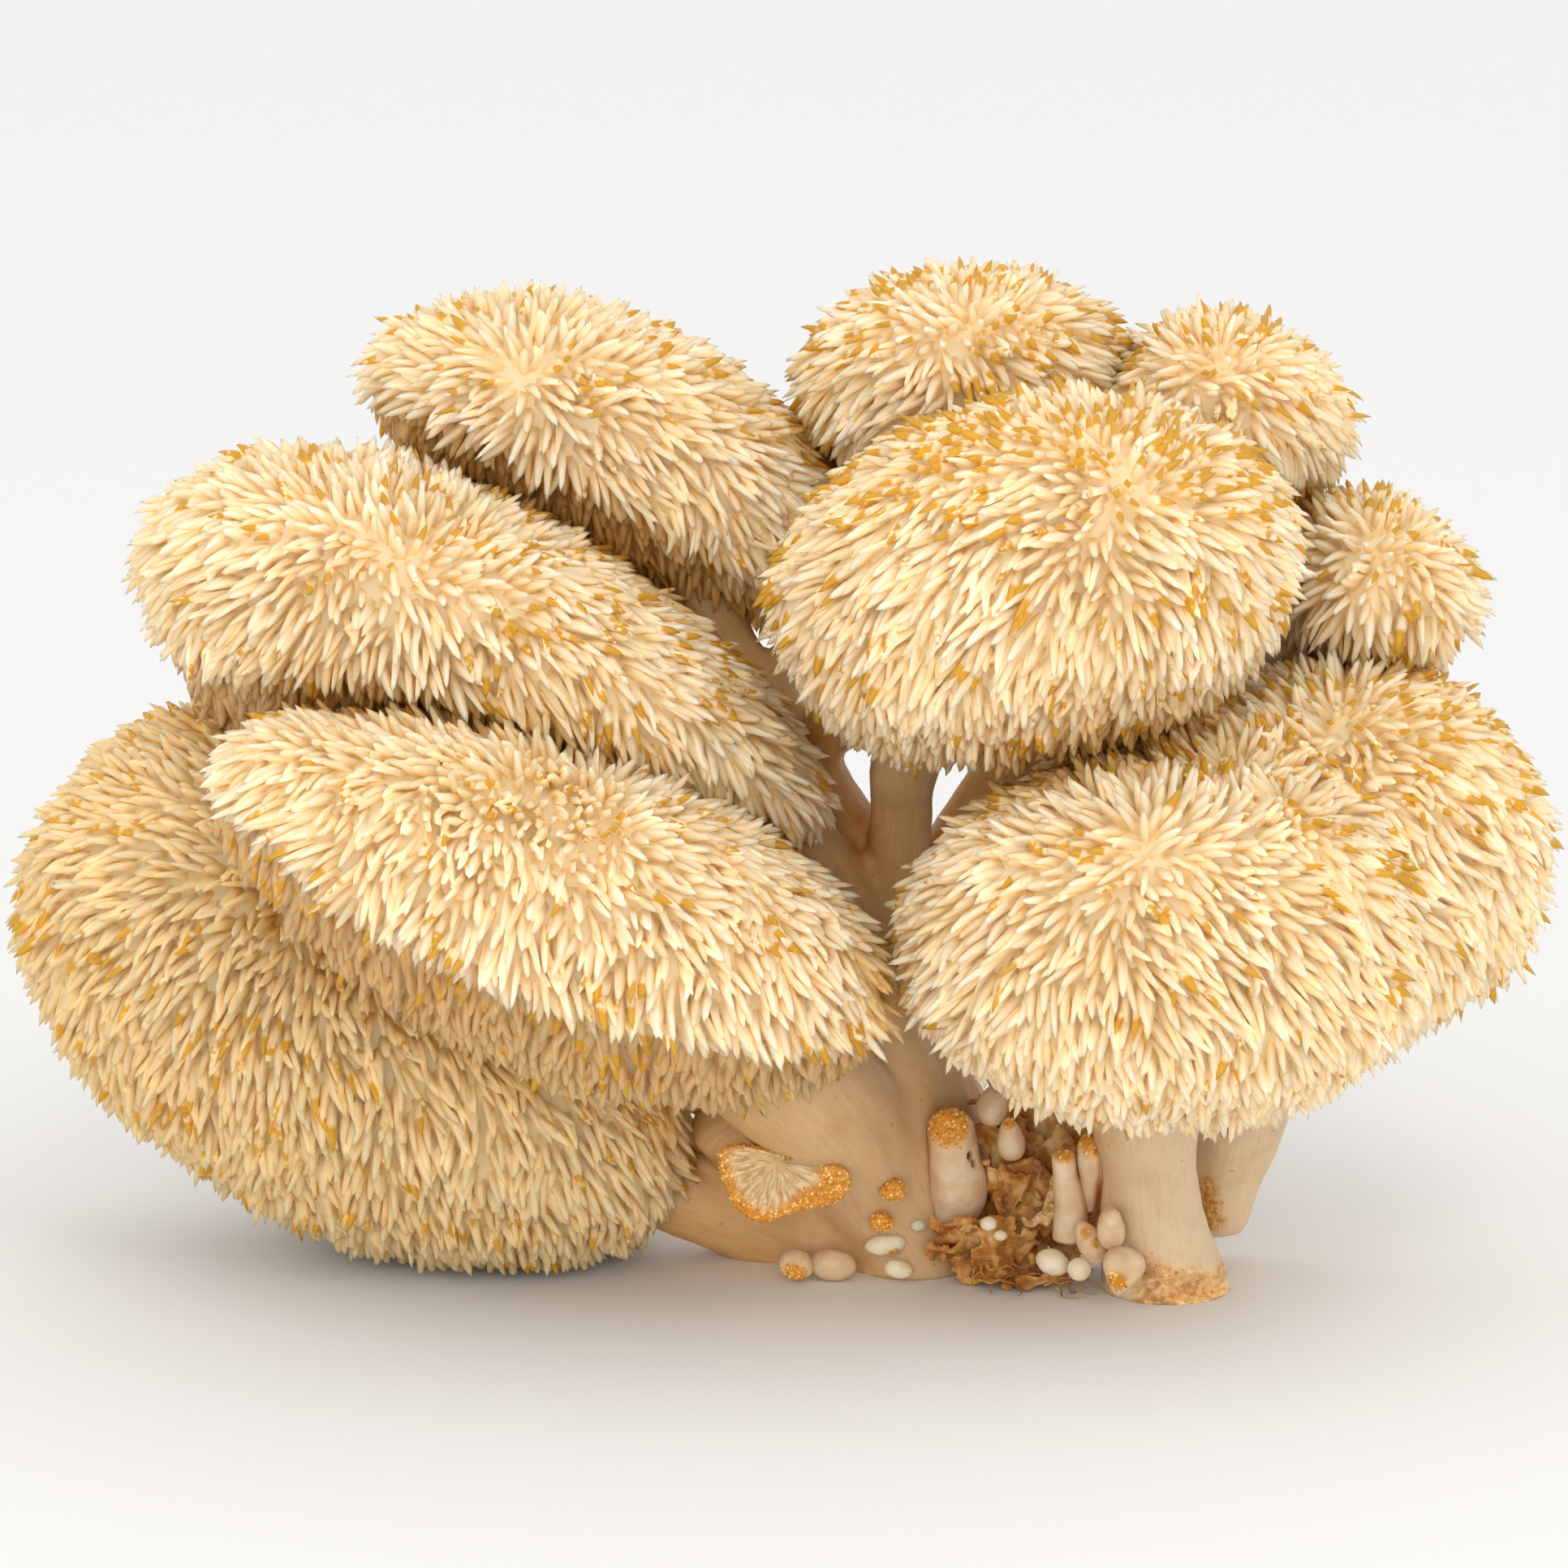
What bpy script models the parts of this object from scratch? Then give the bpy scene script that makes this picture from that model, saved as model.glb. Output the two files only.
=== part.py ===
"""Lion's mane mushroom: spiny caps on forking stems, cut off flat where the cluster grew.

Dimensions are in millimetres and become metres through MM. +X is to the right, +Y to the back and
+Z up, with the origin under the middle of the cluster, on the ground.
"""

import math
import random
from collections import namedtuple

import bmesh
import bpy
from mathutils import Matrix, Vector, noise

MM = 0.001

# Clearance between two pieces that touch
GAP = 0.3

# Spines stand on a cap's flesh: the hollows between them and their tips
SPINE_HOLLOW = 3.0
SPINE_HEIGHT = 3.4
SPINE_COMB = 1.0

# How far a cap that presses on its neighbour is kept from the neighbour's flesh
NEIGHBOUR_ROOM = SPINE_HOLLOW + SPINE_HEIGHT + SPINE_COMB + GAP

# The whole cluster, moved so that its middle stands over the origin
CLUSTER_AT = (-0.6, -7.1, 0)

# The cluster leans back by this share of its height, so that it stands firmly on its cut feet, and
# is this much lower, so that it looks as tall as before from the photo's angle
LEAN = 0.05
LEAN_HEIGHT = 0.9894

# Cap sections are rounded boxes, and the ends are blunt
SECTION_POWER = 2.2
END_POWER = 2.6

# Lowest point of the cap that lies on the ground
CAP_REST = 0.15

# Lumps along the stems, drawn from seeded noise
NOISE_SEED = 3
STEM_LUMP = 0.5
STEM_LUMP_LENGTH = 14.0

STEM_SIDES = 8
STALK_SIDES = 6

HUSK_THICKNESS = 0.9

Cap = namedtuple("Cap", "at turn length crown heights depths under faces")
Bud = namedtuple("Bud", "at turn size taper")
Husk = namedtuple("Husk", "at turn size crumple seed")

# Caps: middle of the flesh, turn in degrees, length, offset of the crown from the middle,
# half heights and half depths at the left end, crown and right end, how deep the underside is
# against the upper side, and faces round and along
CAPS = {
    "cap_rear_left": Cap(
        (-28, 36, 121.5), (-10, 25, -7), 73, (-1, 1.5, 6), (11, 16, 13), (24, 27, 20), 0.9, (14, 10),
    ),
    "cap_mid_left": Cap(
        (-44, 3.5, 91.5), (-4, 17, -6), 103, (-8, 1.5, 13), (20.5, 13.5, 7.5), (24, 27, 17), 1.2, (13, 10),
    ),
    "cap_front_left": Cap(
        (-34, -28, 69.5), (4, 21, -1), 99, (3, -3, -5.5), (12.5, 20.5, 15.5), (22, 27.5, 23), 0.85, (14, 11),
    ),
    "cap_low_left": Cap(
        (-64.4, 9, 42.5), (-24, 33, -6), 105.5, (-1.5, 3, -3), (29.5, 32, 19.5), (28, 31, 26), 0.9, (14, 10),
    ),
    "cap_top_centre": Cap(
        (31, 40, 133), (-5, -4, -3), 42, (0, -3, 3.5), (12, 14.5, 12), (22, 25, 22), 0.85, (12, 8),
    ),
    "cap_centre": Cap(
        (41.5, -15, 107), (-10, -10, 4), 66, (2.5, -7, 6), (20, 24.5, 19), (26, 30, 25), 0.82, (14, 9),
    ),
    "cap_top_right": Cap(
        (72, 32, 130), (-5, 16, -10), 26, (0, 0, 3), (9, 11.5, 9), (20, 23, 19), 0.85, (11, 8),
    ),
    "cap_right_rear": Cap(
        (94.5, 25, 103), (-5, 24, 0), 20, (0, -2, 2), (9, 11, 8.5), (19, 21, 17), 0.85, (12, 8),
    ),
    "cap_right": Cap(
        (58.7, -31, 58), (-8, 3, 5), 69, (-0.5, -5, 2), (19.5, 24, 18.5), (22, 27, 24), 0.9, (12, 8),
    ),
}

# Second lobe of the broad right cap, and the saddle between the two, joined to its first
LOBES = {
    "right_lobe": Cap(
        (88.5, 9, 67), (-8, 13, -5), 57, (1.5, -4, -0.5), (18, 26, 21), (25, 30, 25), 0.85, (12, 8),
    ),
    "right_saddle": Cap(
        (69, -6, 64), (-6, -4, 12), 48, (0, -2, 1), (15, 18, 20), (24, 26, 26), 0.85, (10, 6),
    ),
}

# Stems: centre and radius at each point, from the ground or the fork up into the cap
STEMS = {
    "trunk": (
        (25.5, 15.5, -6, 15.5), (24, 14.5, 11.5, 14), (20, 13.5, 29, 11.5), (18, 13.5, 45, 9),
        (18.5, 13.5, 57, 7.5),
    ),
    "stem_front_left": (
        (20, 7.5, 4, 10), (13.5, -0.5, 19.5, 11), (4, -12.5, 34.5, 12.5), (-6, -24.5, 50, 14.5),
    ),
    "stem_low_left": ((7, 13, 4.5, 8), (-1, 10.5, 6.5, 9), (-11, 7.5, 11, 8.5), (-22.5, 5.5, 15.5, 8)),
    "limb_left": (
        (18.5, 14.5, 51.5, 6.5), (12, 16.5, 66, 6), (6, 19, 76.5, 5.5), (-1.5, 22, 87, 5.5),
        (-8.5, 26, 96, 6), (-14, 29.5, 107, 8),
    ),
    "stem_mid_left": ((17, 12.5, 50, 6), (9.5, 7.5, 63, 5), (2.5, 3.5, 72.5, 4.5), (-3.5, 3.5, 80.5, 4.5)),
    "stem_top_centre": ((-1, 22.5, 85, 4.5), (2.5, 26.5, 94, 3.5), (8, 32.5, 105, 4), (27, 37.5, 128, 4.5)),
    "stem_centre": (
        (19.5, 12.5, 54.5, 5.5), (20, 7.5, 71.5, 5), (20.5, 1.5, 82, 5.5), (26.5, -8.5, 98, 6.5),
    ),
    "limb_right": (
        (20.5, 15.5, 52, 6.5), (28, 17.5, 62.5, 5.5), (34.5, 20.5, 72, 5.5), (43.5, 22.5, 84.5, 6.5),
        (57.5, 26.5, 100.5, 6), (74.5, 31.5, 126, 5),
    ),
    "stem_right_rear": (
        (45, 22.5, 85, 5), (63, 23.5, 89.5, 4.5), (81, 23.5, 94, 4.5), (94, 23.5, 100.5, 4.5),
    ),
    "stem_front_right": (
        (62, -8.5, -3, 10.5), (60, -9.5, 7.5, 9), (58.5, -12.5, 20.5, 7.5), (57.5, -16.5, 30.5, 9),
        (57.5, -22.5, 47, 11.5),
    ),
    "stem_far_right": ((71, 8.5, 4.5, 4.5), (72, 8.5, 13, 6), (74.5, 7.5, 24, 7.5), (83, 7.5, 54.5, 9.5)),
}

# Buds that stand up like small stems
STALKS = {
    "bud_tall": ((28.5, -2, 9, 3.2), (28.8, -2.5, 14, 4.7), (28.2, -3, 19.5, 4.1), (27.5, -4, 25, 3.3)),
    "bud_column": (
        (46.5, -10.5, 9.5, 2.8), (46.2, -10.5, 15, 2.1), (45.6, -10.8, 20, 1.4), (45.4, -11, 22, 0.6),
    ),
    "bud_round": (
        (49, -9.5, 13, 1.6), (49.5, -10, 17.5, 1.8), (49.8, -10.6, 21.5, 2.1), (49.8, -11, 23.6, 0.8),
    ),
}

# Rounded buds, beads and lumps: centre, turn, half sizes, and how much the top narrows
BUDS = {
    "young_cap": Bud((1.2, -15.5, 18.5), (18, 12, -4), (10.3, 3.4, 5.6), 0.0),
    "bud_upper": Bud((34.5, -1.5, 27.5), (0, 12, 0), (2.5, 2.4, 3.3), 0.2),
    "bud_upper_tip": Bud((37.2, -4.5, 22.8), (0, -8, 0), (2.1, 2.1, 3.4), 0.2),
    "bud_dot_upper": Bud((18.5, -10.4, 16.3), (0, 0, 0), (1.9, 1.5, 1.8), 0.0),
    "bud_dot_lower": Bud((16.8, -8.6, 10.4), (0, 0, 0), (1.6, 1.4, 1.5), 0.0),
    "bead_trunk": Bud((22.5, -4.9, 9.0), (0, 0, 0), (1.6, 1.3, 1.2), 0.0),
    "bean_white": Bud((17.5, -5, 5.9), (0, -14, 0), (3.3, 1.7, 1.7), 0.0),
    "bud_white_low": Bud((19.5, -7.5, 2.5), (0, 14, 0), (2.3, 1.5, 1.4), 0.0),
    "bead_husk_large": Bud((33.5, -12.5, 11.4), (0, 0, 0), (1.3, 1.2, 1.2), 0.0),
    "bead_husk_small": Bud((35.3, -13.5, 9.7), (0, 0, 0), (1.0, 0.9, 0.9), 0.0),
    "bud_ring": Bud((52.3, -18.5, 12.5), (0, -4, 0), (2.1, 1.8, 3.6), 0.25),
    "bud_curved": Bud((49.2, -15.5, 9.2), (0, -25, 0), (2.0, 1.8, 3.6), 0.0),
    "bud_cone": Bud((54, -21.5, 6.3), (0, 12, 0), (3.0, 2.4, 3.6), -0.45),
    "bud_white_left": Bud((43.5, -13.5, 5.4), (0, 20, 0), (2.8, 2.0, 2.0), 0.0),
    "bud_white_right": Bud((47.6, -16, 5), (0, 0, 0), (1.9, 1.8, 1.9), 0.0),
    "bud_oval": Bud((3.5, -6, 2.6), (0, 10, 0), (2.8, 2.2, 2.3), 0.0),
    "lump_beige": Bud((9.2, -5.5, 2.6), (0, 0, 0), (3.4, 2.6, 2.4), 0.0),
}

# Crumpled husk: centre, turn, width and height, depth of the crumples
HUSKS = {
    "husk_front": Husk((33, -7, 7.3), (14, 10, 4), (17, 9), 1.8, 3),
    "husk_middle": Husk((40, -3.5, 13.5), (-10, -18, 0), (10, 11), 1.6, 8),
    "husk_back": Husk((41.5, 3.5, 20.5), (0, 8, 0), (9, 10), 1.6, 5),
    "husk_skirt": Husk((38.5, -10, 1.9), (74, 0, 0), (15, 7), 1.0, 11),
}
HUSK_STRIP = (
    (45, -9, 18.5, 0.9), (43.2, -8.5, 14.5, 1.0), (42.5, -9.3, 12.4, 1.1), (38.6, -9.8, 11.6, 0.8),
)

# What each piece is trimmed back from
TRIMS = {
    "stem_front_left": ("trunk",),
    "young_cap": ("stem_front_left",),
    "bud_tall": ("stem_front_left", "trunk"),
    "bud_upper": ("stem_front_left", "trunk"),
    "bud_upper_tip": ("stem_front_left", "trunk"),
    "bud_dot_upper": ("stem_front_left",),
    "bud_dot_lower": ("stem_front_left",),
    "bead_trunk": ("stem_front_left",),
    "bean_white": ("stem_front_left",),
    "bud_white_low": ("stem_front_left",),
    "bud_oval": ("stem_front_left", "stem_low_left"),
    "lump_beige": ("stem_front_left", "stem_low_left"),
    "bud_column": ("stem_front_right",),
    "bud_round": ("stem_front_right", "bud_column"),
    "husk_strip": ("bud_column",),
    "bud_ring": ("stem_front_right",),
    "bud_curved": ("stem_front_right",),
    "bud_cone": ("stem_front_right",),
    "stem_low_left": ("trunk", "stem_front_left"),
    "limb_left": ("trunk",),
    "stem_mid_left": ("trunk", "limb_left"),
    "stem_top_centre": ("limb_left",),
    "stem_centre": ("trunk", "limb_left", "stem_mid_left"),
    "limb_right": ("trunk", "limb_left", "stem_centre", "stem_mid_left"),
    "stem_right_rear": ("limb_right",),
    "stem_far_right": ("stem_front_right",),
    "cap_rear_left": ("limb_left", "stem_top_centre", "cap_top_centre"),
    "cap_mid_left": ("stem_mid_left", "limb_left", "cap_rear_left", "cap_front_left"),
    "cap_front_left": ("stem_front_left",),
    "cap_low_left": ("stem_low_left", "cap_front_left"),
    "cap_top_centre": ("stem_top_centre",),
    "cap_centre": ("stem_centre",),
    "cap_top_right": ("limb_right", "cap_top_centre"),
    "cap_right_rear": ("stem_right_rear", "right_lobe"),
    "cap_right": ("stem_front_right", "stem_far_right", "stem_right_rear", "limb_right"),
}

# Pieces that are cut off flat at the ground
CUT_AT_GROUND = ("trunk", "stem_front_left", "stem_low_left", "stem_front_right")

CAP_FLESH = (0.82, 0.66, 0.42)
STEM_FLESH = (0.68, 0.47, 0.29)
BUD_FLESH = (0.78, 0.60, 0.42)
GOLDEN = (0.66, 0.33, 0.06)
HUSK_BROWN = (0.30, 0.15, 0.06)
GOLDEN_PIECES = ("young_cap", "bud_dot_upper", "bud_dot_lower", "bud_oval")


def clear_scene():
    for old in list(bpy.data.objects):
        bpy.data.objects.remove(old, do_unlink=True)


def new_collection(name):
    collection = bpy.data.collections.new(name)
    bpy.context.scene.collection.children.link(collection)
    return collection


def new_object(name, mesh, collection):
    piece = bpy.data.objects.new(name, mesh)
    collection.objects.link(piece)
    return piece


def place(piece, at, turn):
    piece.location = Vector(at) * MM
    piece.rotation_euler = [math.radians(angle) for angle in turn]


def between(left, middle, right, t):
    """Smooth value between three, for t from -1 at the left to 1 at the right."""
    return middle + (right - left) / 2 * t + ((left + right) / 2 - middle) * t * t


def cap_point(cap, t, angle, grow):
    """Point of a cap's surface in its own frame, grow millimetres outside its flesh."""
    half = cap.length / 2 + grow
    skew, bow, arch = (offset * (1 - t * t) for offset in cap.crown)
    along = Vector((half - 2 * cap.crown[0] * t, 0, -2 * cap.crown[2] * t)).normalized()
    up = Vector((-along.z, 0, along.x))
    fullness = max(0.0, 1 - abs(t) ** END_POWER) ** (1 / END_POWER)
    height = (between(*cap.heights, t) + grow) * fullness
    depth = (between(*cap.depths, t) + grow) * fullness
    rise = math.copysign(abs(math.sin(angle)) ** (2 / SECTION_POWER), math.sin(angle)) * height
    side = math.copysign(abs(math.cos(angle)) ** (2 / SECTION_POWER), math.cos(angle)) * depth
    if rise < 0:
        rise *= cap.under
    return (Vector((half * t + skew, bow + side, arch)) + up * rise) * MM


def face_outward(bm):
    bmesh.ops.recalc_face_normals(bm, faces=bm.faces[:])
    if bm.calc_volume(signed=True) < 0:
        bmesh.ops.reverse_faces(bm, faces=bm.faces[:])
    bm.normal_update()


def add_spines(bm, centre, seed):
    """Raises every face of a cap to a point, combed outward."""
    chance = random.Random(seed)
    tips = bmesh.ops.poke(bm, faces=bm.faces[:], offset=SPINE_HEIGHT * MM)["verts"]
    for tip in sorted(tips, key=lambda tip: tuple(tip.co)):
        outward = (tip.co - centre).normalized()
        comb = Vector((outward.x, outward.y, 0))
        tip.co += outward * chance.uniform(-0.4, 0.4) * MM
        tip.co += comb * SPINE_COMB * chance.uniform(0.3, 1.0) * MM


def make_cap(name, cap, grow, spiny, collection):
    """A cap's form: a sphere with its poles at the two ends, drawn out to the cap's shape."""
    bm = bmesh.new()
    around, rows = cap.faces
    bmesh.ops.create_uvsphere(bm, u_segments=around, v_segments=rows, radius=1)
    for vertex in bm.verts:
        t = max(-1.0, min(1.0, vertex.co.z))
        row = round(math.acos(t) / math.pi * rows)
        stagger = (row % 2) * math.pi / around
        angle = math.atan2(vertex.co.y, vertex.co.x) + stagger
        vertex.co = cap_point(cap, t, angle, grow)
    face_outward(bm)
    if spiny:
        add_spines(bm, Vector(cap.crown) * MM, name)
    mesh = bpy.data.meshes.new(name)
    bm.to_mesh(mesh)
    bm.free()
    piece = new_object(name, mesh, collection)
    place(piece, cap.at, cap.turn)
    return piece


def keep_above_ground(piece, height):
    """Flattens what would hang lower than this height, as a cap does that lies on the ground."""
    bpy.context.view_layer.update()
    world = piece.matrix_world
    back = world.inverted()
    for vertex in piece.data.vertices:
        point = world @ vertex.co
        if point.z < height * MM:
            point.z = height * MM
            vertex.co = back @ point


def make_stem(name, points, grow, sides, collection):
    """A tube through the points, made a mesh, with slow lumps; grow also lengthens its ends."""
    knots = [Vector(point[:3]) for point in points]
    knots[0] = knots[0] + (knots[0] - knots[1]).normalized() * grow
    knots[-1] = knots[-1] + (knots[-1] - knots[-2]).normalized() * grow
    curve = bpy.data.curves.new(name + "_line", "CURVE")
    curve.dimensions = "3D"
    curve.bevel_depth = MM
    curve.bevel_resolution = (sides - 4) // 2
    curve.resolution_u = 2
    curve.use_fill_caps = True
    spline = curve.splines.new("BEZIER")
    spline.bezier_points.add(len(points) - 1)
    spline.radius_interpolation = "CARDINAL"
    for knot, position, point in zip(spline.bezier_points, knots, points):
        knot.co = position * MM
        knot.radius = point[3] + grow
        knot.handle_left_type = "AUTO"
        knot.handle_right_type = "AUTO"
    line = new_object(name + "_line", curve, collection)
    graph = bpy.context.evaluated_depsgraph_get()
    mesh = bpy.data.meshes.new_from_object(line.evaluated_get(graph))
    mesh.name = name
    bpy.data.objects.remove(line, do_unlink=True)
    bm = bmesh.new()
    bm.from_mesh(mesh)
    bmesh.ops.remove_doubles(bm, verts=bm.verts[:], dist=0.00001)
    for vertex in bm.verts:
        lump = noise.noise_vector(vertex.co / (STEM_LUMP_LENGTH * MM))
        vertex.co += lump * STEM_LUMP * MM * min(1.0, points[0][3] / 5)
    face_outward(bm)
    bm.to_mesh(mesh)
    bm.free()
    return new_object(name, mesh, collection)


def make_bud(name, bud, grow, collection):
    """A rounded bud, from a sphere."""
    bm = bmesh.new()
    around = 7 if max(bud.size) > 2 else 6
    bmesh.ops.create_uvsphere(bm, u_segments=around, v_segments=5, radius=1)
    for vertex in bm.verts:
        slim = 1 - bud.taper * vertex.co.z
        x, y, z = vertex.co
        vertex.co.x = x * slim * (bud.size[0] + grow) * MM
        vertex.co.y = y * slim * (bud.size[1] + grow) * MM
        vertex.co.z = z * (bud.size[2] + grow) * MM
    mesh = bpy.data.meshes.new(name)
    bm.to_mesh(mesh)
    bm.free()
    piece = new_object(name, mesh, collection)
    place(piece, bud.at, bud.turn)
    return piece


def shape_young_cap(piece):
    """Notches the fan's top edge in the middle and spreads its lower left."""
    for vertex in piece.data.vertices:
        across = vertex.co.x / (10 * MM)
        vertex.co.z -= 2.4 * MM * math.exp(-((across - 0.15) * 3) ** 2) * (vertex.co.z > 0)
        vertex.co.z *= 1.15 - 0.25 * across


def make_husk(name, husk, collection):
    """A crumpled sheet with a thickness."""
    bm = bmesh.new()
    bmesh.ops.create_grid(bm, x_segments=5, y_segments=3, size=0.5)
    for vertex in bm.verts:
        spot = Vector((vertex.co.x * 4, vertex.co.y * 4, husk.seed * 1.7))
        fold = noise.noise(spot) * husk.crumple
        ragged = 1 + 0.25 * noise.noise(spot * 2)
        width, height = husk.size
        vertex.co = Vector((vertex.co.x * width * ragged, fold, vertex.co.y * height * ragged)) * MM
    mesh = bpy.data.meshes.new(name)
    bm.to_mesh(mesh)
    bm.free()
    piece = new_object(name, mesh, collection)
    place(piece, husk.at, husk.turn)
    thicken = piece.modifiers.new("thickness", "SOLIDIFY")
    thicken.thickness = HUSK_THICKNESS * MM
    thicken.offset = 0
    return piece


def make_room(name, collection):
    """The form of a piece grown by its clearance, to trim its neighbours with."""
    if name in CAPS or name in LOBES:
        cap = CAPS[name] if name in CAPS else LOBES[name]
        return make_cap(name + "_room", cap, NEIGHBOUR_ROOM, False, collection)
    if name in STALKS:
        return make_stem(name + "_room", STALKS[name], GAP, STALK_SIDES, collection)
    return make_stem(name + "_room", STEMS[name], GAP, STEM_SIDES, collection)


def make_ground(collection):
    """Box that takes off what is below the cut."""
    bm = bmesh.new()
    bmesh.ops.create_cube(bm, size=1)
    bmesh.ops.scale(bm, vec=(0.3, 0.2, 0.04), verts=bm.verts[:])
    mesh = bpy.data.meshes.new("ground")
    bm.to_mesh(mesh)
    bm.free()
    ground = new_object("ground", mesh, collection)
    ground.location.z = -0.02
    return as_cutter(ground)


def as_cutter(piece):
    piece.hide_render = True
    piece.display_type = "WIRE"
    return piece


def combine(piece, operation, other):
    change = piece.modifiers.new(operation.lower() + "_" + other.name, "BOOLEAN")
    change.operation = operation
    change.object = other


def add_material(piece, colour, roughness):
    material = bpy.data.materials.new(piece.name)
    material.use_nodes = True
    shader = material.node_tree.nodes["Principled BSDF"]
    shader.inputs["Base Color"].default_value = (*colour, 1)
    shader.inputs["Roughness"].default_value = roughness
    shader.inputs["Metallic"].default_value = 0
    piece.data.materials.append(material)


def shade_round(piece):
    piece.data.shade_smooth()
    piece.data.set_sharp_from_angle(angle=math.radians(50))


def main():
    clear_scene()
    noise.seed_set(NOISE_SEED)
    mushroom = new_collection("lions_mane_mushroom")
    cutters = new_collection("cutters")
    cluster = bpy.data.objects.new("cluster", None)
    mushroom.objects.link(cluster)
    pieces = {}

    for name, cap in CAPS.items():
        pieces[name] = make_cap(name, cap, SPINE_HOLLOW, True, mushroom)
        add_material(pieces[name], CAP_FLESH, 0.75)
    for name, lobe in LOBES.items():
        combine(pieces["cap_right"], "UNION", as_cutter(make_cap(name, lobe, SPINE_HOLLOW, True, cutters)))
    keep_above_ground(pieces["cap_low_left"], CAP_REST)

    for name, points in STEMS.items():
        pieces[name] = make_stem(name, points, 0, STEM_SIDES, mushroom)
        add_material(pieces[name], STEM_FLESH, 0.6)
        shade_round(pieces[name])
    for name, points in STALKS.items():
        pieces[name] = make_stem(name, points, 0, STALK_SIDES, mushroom)
        add_material(pieces[name], BUD_FLESH, 0.55)
        shade_round(pieces[name])
    for name, bud in BUDS.items():
        pieces[name] = make_bud(name, bud, 0, mushroom)
        add_material(pieces[name], GOLDEN if name in GOLDEN_PIECES else BUD_FLESH, 0.55)
        shade_round(pieces[name])
    shape_young_cap(pieces["young_cap"])
    for name, husk in HUSKS.items():
        pieces[name] = make_husk(name, husk, mushroom)
        add_material(pieces[name], HUSK_BROWN, 0.85)
    pieces["husk_strip"] = make_stem("husk_strip", HUSK_STRIP, 0, 6, mushroom)
    add_material(pieces["husk_strip"], HUSK_BROWN, 0.85)

    ground = make_ground(cutters)
    for name in CUT_AT_GROUND:
        combine(pieces[name], "DIFFERENCE", ground)
    room = {}
    for name, others in TRIMS.items():
        for other in others:
            if other not in room:
                room[other] = as_cutter(make_room(other, cutters))
            combine(pieces[name], "DIFFERENCE", room[other])

    lean = Matrix(((1, 0, 0, 0), (0, 1, LEAN, 0), (0, 0, LEAN_HEIGHT, 0), (0, 0, 0, 1)))
    for piece in list(mushroom.objects) + list(cutters.objects):
        if piece != cluster and piece != ground:
            piece.parent = cluster
            piece.matrix_parent_inverse = lean
    cluster.location = Vector(CLUSTER_AT) * MM


main()
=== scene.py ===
"""Lion's mane mushroom: soft spines on the caps, fibrous stems, golden young buds and dry husk.

Lengths in the tables are in millimetres in the cluster's own frame, and become metres through MM.
+X is to the right, +Y to the back and +Z up.
"""

import math
import random
from collections import namedtuple
from functools import partial

import bmesh
import bpy
import numpy as np
from mathutils import Euler, Matrix, Vector, noise
from mathutils.bvhtree import BVHTree


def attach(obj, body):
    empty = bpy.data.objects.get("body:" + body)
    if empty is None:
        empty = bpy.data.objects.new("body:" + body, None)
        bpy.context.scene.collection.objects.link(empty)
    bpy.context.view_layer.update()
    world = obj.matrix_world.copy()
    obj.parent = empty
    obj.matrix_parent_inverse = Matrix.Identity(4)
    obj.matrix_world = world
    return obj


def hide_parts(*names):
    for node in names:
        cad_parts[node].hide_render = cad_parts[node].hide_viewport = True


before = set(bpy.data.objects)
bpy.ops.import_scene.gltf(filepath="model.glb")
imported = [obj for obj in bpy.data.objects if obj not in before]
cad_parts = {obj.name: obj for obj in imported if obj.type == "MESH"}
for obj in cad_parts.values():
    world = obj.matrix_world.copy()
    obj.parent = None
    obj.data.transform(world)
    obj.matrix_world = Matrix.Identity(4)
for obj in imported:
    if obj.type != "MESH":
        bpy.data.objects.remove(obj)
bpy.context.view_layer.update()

MM = 0.001
CLUSTER_AT = (-0.6, -7.1, 0)

# The cluster leans back by this share of its height, which makes it this much lower, as its solids do
LEAN = 0.05
LEAN_HEIGHT = 0.9894
ON_GROUND = 0.1

# Camera: it looks along +Y and down a little, at the middle of the cluster
PHOTO_PIXELS = 1932
PIXEL_MM = 0.126
CAMERA_DISTANCE = 900
CAMERA_DOWN = 12
AIM_AT = (2.0, -4.5, 80)
AIM_PIXELS_RIGHT = 4
SENSOR_MM = 36

# Caps: spines stand on a core that lies this far outside the flesh's form
CORE_GROW = 3.1
SECTION_POWER = 2.2
END_POWER = 2.6
CORE_LUMP = 0.9
CORE_LUMP_LENGTH = 11
CORE_ABOVE_GROUND = 3.2
CAP_AROUND = 72
CAP_ROWS = 48
LOBE_VOXEL = 2.0
LOBE_SMOOTHING = 24
NOISE_SEED = 3

# How closed in each kind of piece is: rays from each point, and where they start and end in millimetres
# The materials paint shade by it: darker and warmer where a point is closed in
NOOK_RAYS = 14
GOLDEN_ANGLE = 2.399963
SPINE_NOOK = (3.5, 26)
STEM_NOOK = (1.0, 26)
BUD_NOOK = (0.6, 14)
HUSK_NOOK = (0.4, 12)

# Spines of a young lion's mane: 5 to 9 mm long and under 2 mm thick
SPINE_LENGTH = 7.6
SPINE_WIDTH = 1.9
SPINE_SPACING = 1.58
SPINE_SIDES = 4
SPINE_RINGS = 3
GOLD_PATCH = 8.5

# Comb: tufts and swirls of spines this far across; how far the spines lie down at the crown, how
# much more at the margin and underneath, in degrees; and how strongly they hang
SMALL_TUFT = 3.5
TUFT = 6.5
SWIRL = 18
LIE_AT_CROWN = 40
LIE_AT_MARGIN = 16
LIE_BELOW = 5
HANG = 0.7

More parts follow.
